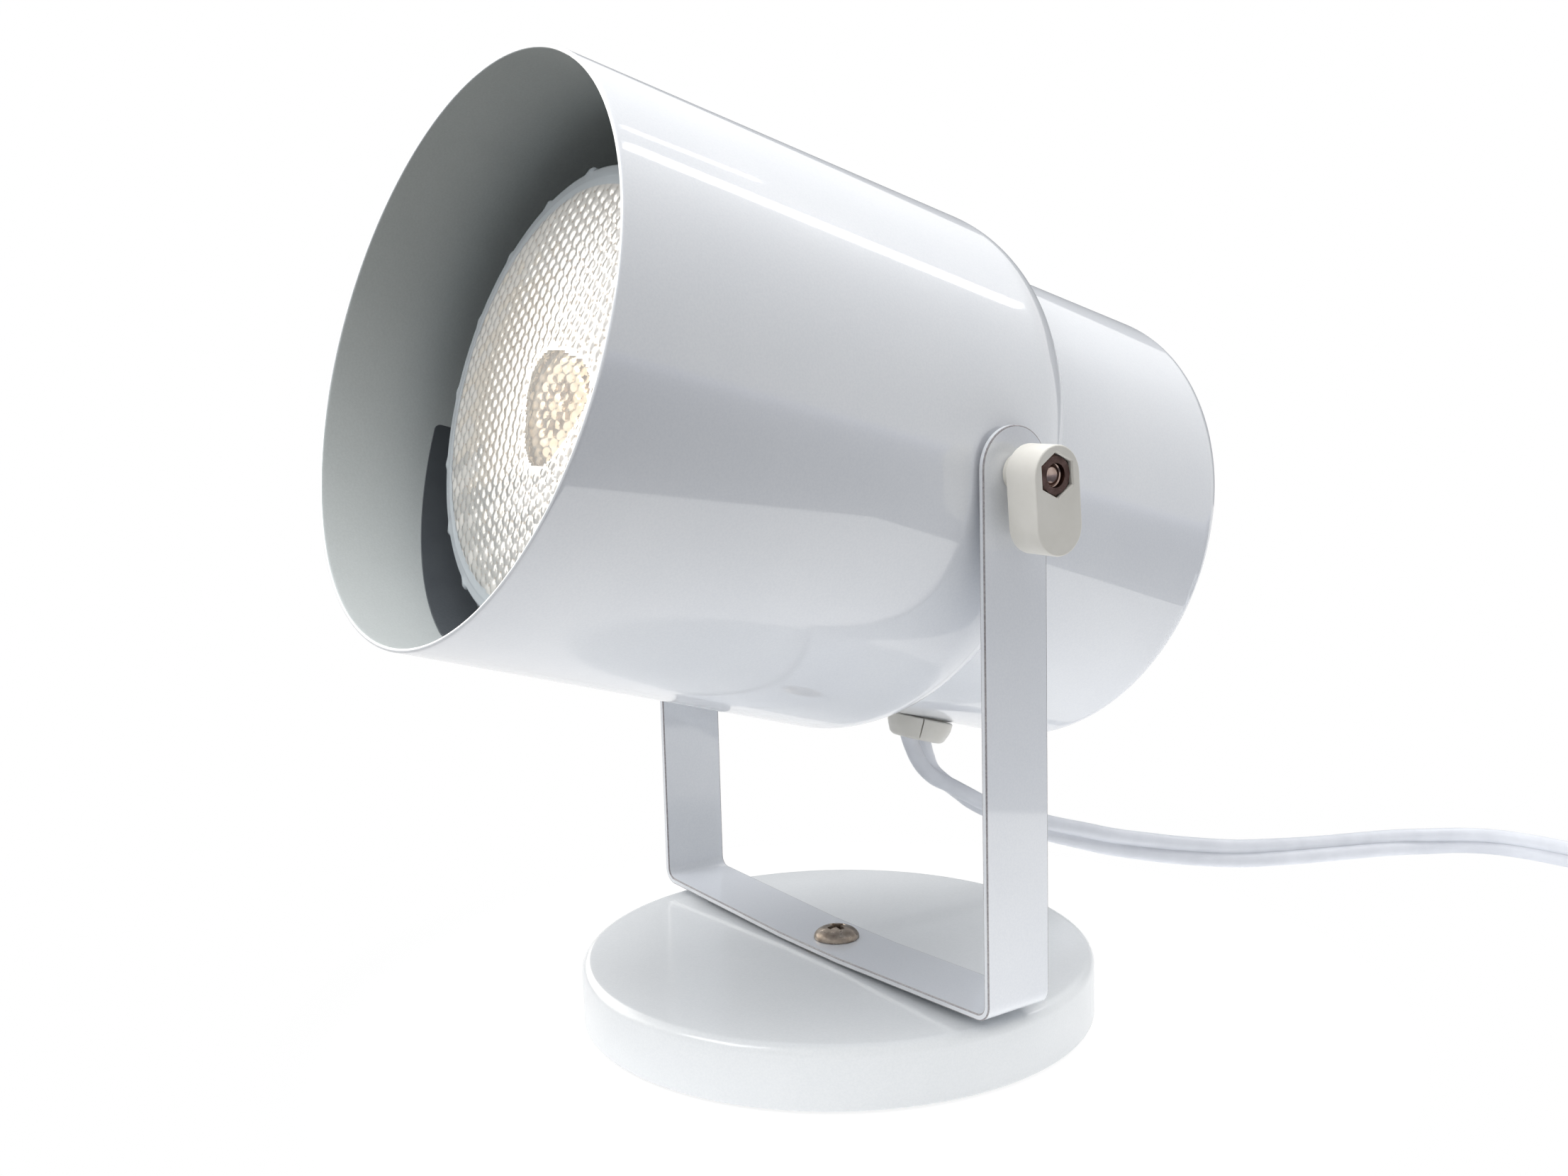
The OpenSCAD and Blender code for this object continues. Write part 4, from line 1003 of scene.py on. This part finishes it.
# The edge is ragged, and nuggets and slow ripples together make the dents
for ring in range(patch_rings + 1):
    loop = []
    for k in range(patch_sides):
        turn = tau*k/patch_sides
        ragged = patch_radius*(1 + 0.06*sin(5*turn) + 0.05*sin(11*turn + 1))
        out = ragged*max(ring, middle_ring)/patch_rings
        x = patch_middle.x + out*cos(turn)
        y = patch_middle.y + out*sin(turn)
        nuggets = sin(tau*x/dent_pitch + sin(y/dent_pitch))*sin(tau*y/dent_pitch)
        ripples = cos(tau*ragged*ring/patch_rings/(2.2*dent_pitch))
        dents = 0.6*(0.5 + 0.5*nuggets) + 0.4*(0.5 + 0.5*ripples)
        height = dome(x, y) - lens_thick - patch_gap - 0.15*stipple_height - patch_dent*(1 - dents)
        loop.append(patch.verts.new((x, y, height)))
        dents_at[loop[-1]] = dents
    patch_loops.append(loop)
for leaf in bridge(patch, patch_loops):
    leaf.material_index = 1 if sum(dents_at[corner] for corner in leaf.verts)/4 < hollow_share else 0
patch.faces.new(patch_loops[0])
gold_leaf = metal("gold_leaf", (1, 0.9, 0.72), (0.8, 0.55, 0.3), 0.6, 0.1, 0.25)
# The hollows between the nuggets: dark brown as painted shade
shaded_hollow_leaf = metal("shaded_hollow_leaf", (0.38, 0.26, 0.16), (0.12, 0.075, 0.05), 1, 0.2, 0.4)
gilt_patch = keep("gilt_patch", patch, "head", [gold_leaf, shaded_hollow_leaf], crease=60, place=lamp_place)


# Lamp holder: a glazed porcelain cup with a brass screw shell, a spring contact and two terminal screws, on
# a bent steel bracket screwed through the can's end. They keep their solids.
porcelain = finish("porcelain", moulded_tree, [(0.78, 0.75, 0.68), (0.72, 0.68, 0.6), 300, 0.12, 0.25],
                   {"Coat Weight": 0.6, "Coat Roughness": 0.05}, bump=0.03*MM)
dress(porcelain, "holder_body")
dress(brass, "holder_shell", "holder_contact", "terminal_screws")
dress(bright_steel, "holder_bracket", "holder_screw", "bracket_screws", "bracket_nuts")
dress(white_vinyl, "lead_wires")


# Pivot bolts: domed steel bolts put out through the hood's sides from within, with a fibre washer between
# hood and leg. Only the threaded end shows, in the knob.
bolt_radius = 2.5*MM
bolt_head, bolt_head_height, bolt_head_rim = 5.5*MM, 2.6*MM, 0.4*MM
thread_pitch = 0.8*MM
thread_depth = 0.35*MM
thread_turns = 8
bolt_seat = 62.71*MM
bolt_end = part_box("pivot_bolt_right")[1].x
plain_end = 0.6*MM
tip_radius, tip_height, tip_rim = bolt_radius - 0.3*MM, 1.1*MM, 0.1*MM
thread = []
for k in range(thread_turns):
    base = bolt_end - plain_end - thread_pitch*(thread_turns - k)
    thread += [(bolt_radius, base + 0.1*thread_pitch), (bolt_radius - thread_depth, base + 0.5*thread_pitch),
               (bolt_radius, base + 0.9*thread_pitch)]
bolt_tip = domed_head(tip_radius, tip_height, tip_rim)[2:]
bolt_profile = ([(r, bolt_seat - h) for r, h in domed_head(bolt_head, bolt_head_height, bolt_head_rim)[::-1]]
                + [(bolt_radius, bolt_seat)] + thread
                + [(r, bolt_end - tip_height + h) for r, h in bolt_tip])
stud_steel = metal("stud_steel", (0.5, 0.4, 0.36), (0.26, 0.18, 0.15), 0.8, 0.12, 0.24, bump=0.01*MM)
washer_radius = 7*MM
washer_thick = 0.5*MM
washer_start = 64.05*MM


def pivot_place(side, lean=0):
    """Puts a piece drawn along z, with x down, on the tilt axis; side 1 is right and -1 left."""
    turn = Matrix.Rotation(side*pi/2, 4, "Y")
    return Matrix.Translation(pivot) @ turn @ Matrix.Diagonal((side, 1, 1, 1)) @ Matrix.Rotation(lean, 4, "Z")


for hand, side in (("right", 1), ("left", -1)):
    bolt = keep(f"pivot_stud_{hand}", turned(bolt_profile, sides=64), "head", [stud_steel],
                place=pivot_place(side))
    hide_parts(f"pivot_bolt_{hand}")
    ring = keep(f"pivot_fibre_{hand}", washer_ring(washer_radius, pivot_hole, washer_thick), "head", [fibre],
                place=pivot_place(side) @ Matrix.Translation((0, 0, washer_start)))
    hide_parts(f"pivot_washer_{hand}")


# Knobs: cream plastic levers moulded round a six-sided pocket that holds a steel nut. Turning one on its
# bolt clamps the yoke's leg against the hood.
knob_start, knob_face = 66.15*MM, 78.65*MM
hub_radius, hub_end = 4*MM, 69.75*MM
hub_gap, hub_edge, hub_lap = 0.1*MM, 0.4*MM, 0.5*MM
knob_radius = 6.3*MM
knob_drop = 16.8*MM - knob_radius
knob_round = 0.4*MM
knob_back_round = 0.6*MM
nut_across = 8*MM
nut_corner = nut_across/sqrt(3)
nut_high = 4*MM
nut_chamfer = 0.45*MM
nut_bore = bolt_radius + 0.05*MM
nut_sides = 48
nut_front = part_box("knob_nut_right")[1].x
nut_back = nut_front - nut_high
pocket_floor = nut_back - 0.05*MM
knob_lean = radians(4)
pocket_radius = nut_corner + 0.15*MM
pocket_lip = 0.35*MM
cream_plastic = moulded("cream_plastic", (0.77, 0.75, 0.70), (0.71, 0.69, 0.635), 1100, 0.32, 0.5, IOR=1.48,
                        bump=0.02*MM)
brown_steel = metal("brown_steel", (0.15, 0.1, 0.085), (0.06, 0.036, 0.03), 0.9, 0.2, 0.42, bump=0.015*MM)


def lever_loop(radius):
    """Points of the lever's outline, x down: a half round at the top and another at the bottom."""
    top = arc((0, 0), radius, 90, 270, 20)
    return top + [(knob_drop - x, -y) for x, y in top]


def knob_shape():
    """A bmesh of a knob along z: a lever with round edges and the six-sided pocket in its face."""
    made = bmesh.new()
    levels = (arc((knob_radius - knob_back_round, hub_end + knob_back_round), knob_back_round, -90, 0, 4)
              + [(knob_radius, hub_end + knob_back_round + hold),
                 (knob_radius, knob_face - knob_round - hold)]
              + arc((knob_radius - knob_round, knob_face - knob_round), knob_round, 0, 90, 8)
              + [(knob_radius - knob_round - hold/2, knob_face)])
    loops = [[made.verts.new((x, y, z)) for x, y in lever_loop(radius)] for radius, z in levels]
    bridge(made, loops)
    made.faces.new(loops[0][::-1])
    depths = ((pocket_radius + pocket_lip, knob_face), (pocket_radius, knob_face - pocket_lip),
              (pocket_radius, pocket_floor))
    pocket = [[made.verts.new((x, y, z)) for x, y in circle(0, 0, radius, 6)] for radius, z in depths]
    bridge(made, pocket)
    made.faces.new(pocket[-1])
    rim = [made.edges.get((loop[k], loop[(k + 1) % len(loop)])) for loop in (loops[-1], pocket[0])
           for k in range(len(loop))]
    bmesh.ops.triangle_fill(made, use_beauty=True, use_dissolve=False, edges=rim)
    return made


def hub_shape():
    """A bmesh of the round hub behind a knob's lever."""
    bore = bolt_radius + hub_gap
    return turned([(bore, knob_start), (hub_radius - hub_edge, knob_start),
                   (hub_radius, knob_start + hub_edge), (hub_radius, hub_end + hub_lap),
                   (bore, hub_end + hub_lap)], sides=64)


def nut_shape():
    """A bmesh of a six-sided nut along z with chamfered corners and a bore."""
    made = bmesh.new()
    rings = []
    for cap, z in ((0.49*nut_across, nut_back), (nut_corner, nut_back + nut_chamfer),
                   (nut_corner, nut_front - nut_chamfer), (0.49*nut_across, nut_front),
                   (nut_bore, nut_front), (nut_bore, nut_back)):
        ring = []
        for k in range(nut_sides):
            turn = tau*k/nut_sides
            reach = min(nut_across/2/cos((turn + pi/6) % (pi/3) - pi/6), cap)
            ring.append(made.verts.new((reach*sin(turn), reach*cos(turn), z)))
        rings.append(ring)
    bridge(made, rings, closed=True)
    return made


for hand, side in (("right", 1), ("left", -1)):
    knob = keep(f"lever_knob_{hand}", knob_shape(), f"{hand}_knob", [cream_plastic], crease=40,
                place=pivot_place(side, knob_lean))
    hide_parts(f"knob_{hand}")
    hub = keep(f"knob_hub_{hand}", hub_shape(), f"{hand}_knob", [cream_plastic], place=pivot_place(side))
    nut = keep(f"pocket_nut_{hand}", nut_shape(), f"{hand}_knob", [brown_steel], crease=25,
               place=pivot_place(side, knob_lean))
    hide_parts(f"knob_nut_{hand}")


# Cord bushing: a cream plastic strain relief in two halves that snaps into the can's underside and grips
# the cord. Its flange shows the parting line.
bushing_seat = can_radius + 0.05*MM
bushing_radius = 8.3*MM
bushing_neck = 6.25*MM
bushing_lip = 54.8*MM
bushing_tip, tip_width = 41.95*MM, 4.9*MM
barb_radius, barb_length = 7*MM, 3.6*MM
bushing_nose, nose_round = 5.5*MM, 1.9*MM
slit_size = (3*MM, 0.3*MM, 20*MM)
parting_turn = radians(35)
bushing_profile = ([(0, bushing_tip), (tip_width, bushing_tip), (bushing_neck, bushing_lip - barb_length),
                    (barb_radius, bushing_lip - 0.1*MM), (barb_radius, bushing_lip),
                    (bushing_neck, bushing_lip), (bushing_neck, bushing_seat),
                    (bushing_radius - 0.3*MM, bushing_seat),
                    (bushing_radius, bushing_seat + 0.3*MM), (bushing_radius - 0.1*MM, bushing_seat + 2*MM),
                    (bushing_radius - 0.5*MM, bushing_seat + 3.2*MM)]
                   + arc((bushing_nose, bushing_out - nose_round), nose_round, 15, 90, 6)
                   + [(0, bushing_out)])
bushing_place = head_place @ Matrix.Translation((0, 0, -bushing_back)) @ Matrix.Rotation(pi/2, 4, "X")
bushing = keep("split_bushing", turned(bushing_profile, sides=96), "head", [cream_plastic], crease=30,
               place=bushing_place)


def carve_box(piece, place, size, crease):
    """Cuts a box with its middle at place out of a piece."""
    box = bmesh.new()
    bmesh.ops.create_cube(box, size=1, matrix=place @ Matrix.Diagonal((*size, 1)))
    carve(piece, box, crease)


for half_turn in (0, pi):
    slit_place = (bushing_place @ Matrix.Rotation(parting_turn + half_turn, 4, "Z")
                  @ Matrix.Translation((bushing_radius, 0, bushing_out)))
    carve_box(bushing, slit_place, slit_size, crease=30)
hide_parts("cord_bushing")


# Tie: a band of grey woven hook-and-loop tape, closed round the coil to hold its turns together.
# It moves with the yoke.
tie_low, tie_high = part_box("cord_tie")
tie_thick = 0.6*MM
tie_corner, tie_edge = 2*MM, 0.28*MM
tie_middle = (tie_low + tie_high)/2
tie_half = (tie_high - tie_low)/2
tie_loop = round_box(tie_half.x - tie_thick/2, tie_half.z - tie_thick/2, tie_corner)
tie_line = [tie_middle + Vector((x, 0, z)) for x, z in tie_loop + tie_loop[:1]]
tie_section = round_box(tie_half.y, tie_thick/2, tie_edge, steps=3)
grey_tape = moulded("grey_tape", (0.10, 0.105, 0.11), (0.15, 0.155, 0.16), 2400, 0.8, 0.95, bump=0.25*MM)
tie_band = swept(tie_line, [Vector((0, 1, 0))]*len(tie_line), tie_section)
tie = keep("lapped_tie", tie_band, "yoke", [grey_tape], crease=50)
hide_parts("cord_tie")


# Plug: a two-pin plug moulded onto the cord in white vinyl, with finger grips on its sides and two flat
# brass blades.
plug_length, plug_width, plug_thick = 36*MM, 24*MM, 14*MM
plug_tail = 11*MM
plug_shoulder = 0.42*plug_length
plug_bevel, plug_edge = 4*MM, 2.4*MM
plug_gap = 0.05*MM
grip_count, grip_start, grip_pitch = 5, 4*MM, 2.4*MM
grip_size = (1.6*MM, 1*MM, 0.72*plug_thick)
blade_long, blade_wide, blade_thick = 17*MM, 6.4*MM, 1.5*MM
blade_tip, blade_edge = 1.2*MM, 0.2*MM
blade_pitch = 12.7*MM
blade_hole, blade_hole_in = 1.6*MM, 4.5*MM
plug_place = Matrix.Translation(plug_start + plug_gap*plug_way) @ Matrix.Rotation(plug_turn, 4, "Z")
plug_side = [(plug_tail/2, 0), (plug_width/2 - plug_bevel, plug_shoulder),
             (plug_width/2, plug_shoulder + plug_bevel), (plug_width/2, plug_length)]
plug_outline = [(-x, y) for x, y in plug_side] + plug_side[::-1]
plug_sheet = plate(plug_outline, [], plug_thick, plug_edge, [], lambda x, y, z: Vector((x, y, z)))
plug = keep("moulded_plug", plug_sheet, "yoke", [white_vinyl], crease=40, place=plug_place)
for side in (1, -1):
    for k in range(grip_count):
        grip_at = (side*plug_width/2, plug_length - grip_start - grip_pitch*k, 0)
        carve_box(plug, plug_place @ Matrix.Translation(grip_at), grip_size, crease=40)
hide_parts("plug_body")
blade_half = [(blade_wide/2, 0), (blade_wide/2, blade_long - blade_tip),
              (blade_wide/2 - blade_tip, blade_long)]
blade_outline = [(-blade_wide/2, 0)] + blade_half + [(-x, y) for x, y in blade_half[:0:-1]]
blade_hole_loop = circle(0, blade_long - blade_hole_in, blade_hole, sides=24)
blades = bmesh.new()
for side in (1, -1):
    # Each blade stands on edge in the plug's face
    one_blade = plate(blade_outline, [blade_hole_loop], blade_thick, blade_edge, [],
                      lambda x, y, z: Vector((side*blade_pitch/2 + z, plug_length + y, x)))
    blade_mesh = made_mesh("blade", one_blade)
    blades.from_mesh(blade_mesh)
    bpy.data.meshes.remove(blade_mesh)
blade_pair = keep("plug_pins", blades, "yoke", [brass], place=plug_place)
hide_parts("plug_blades")
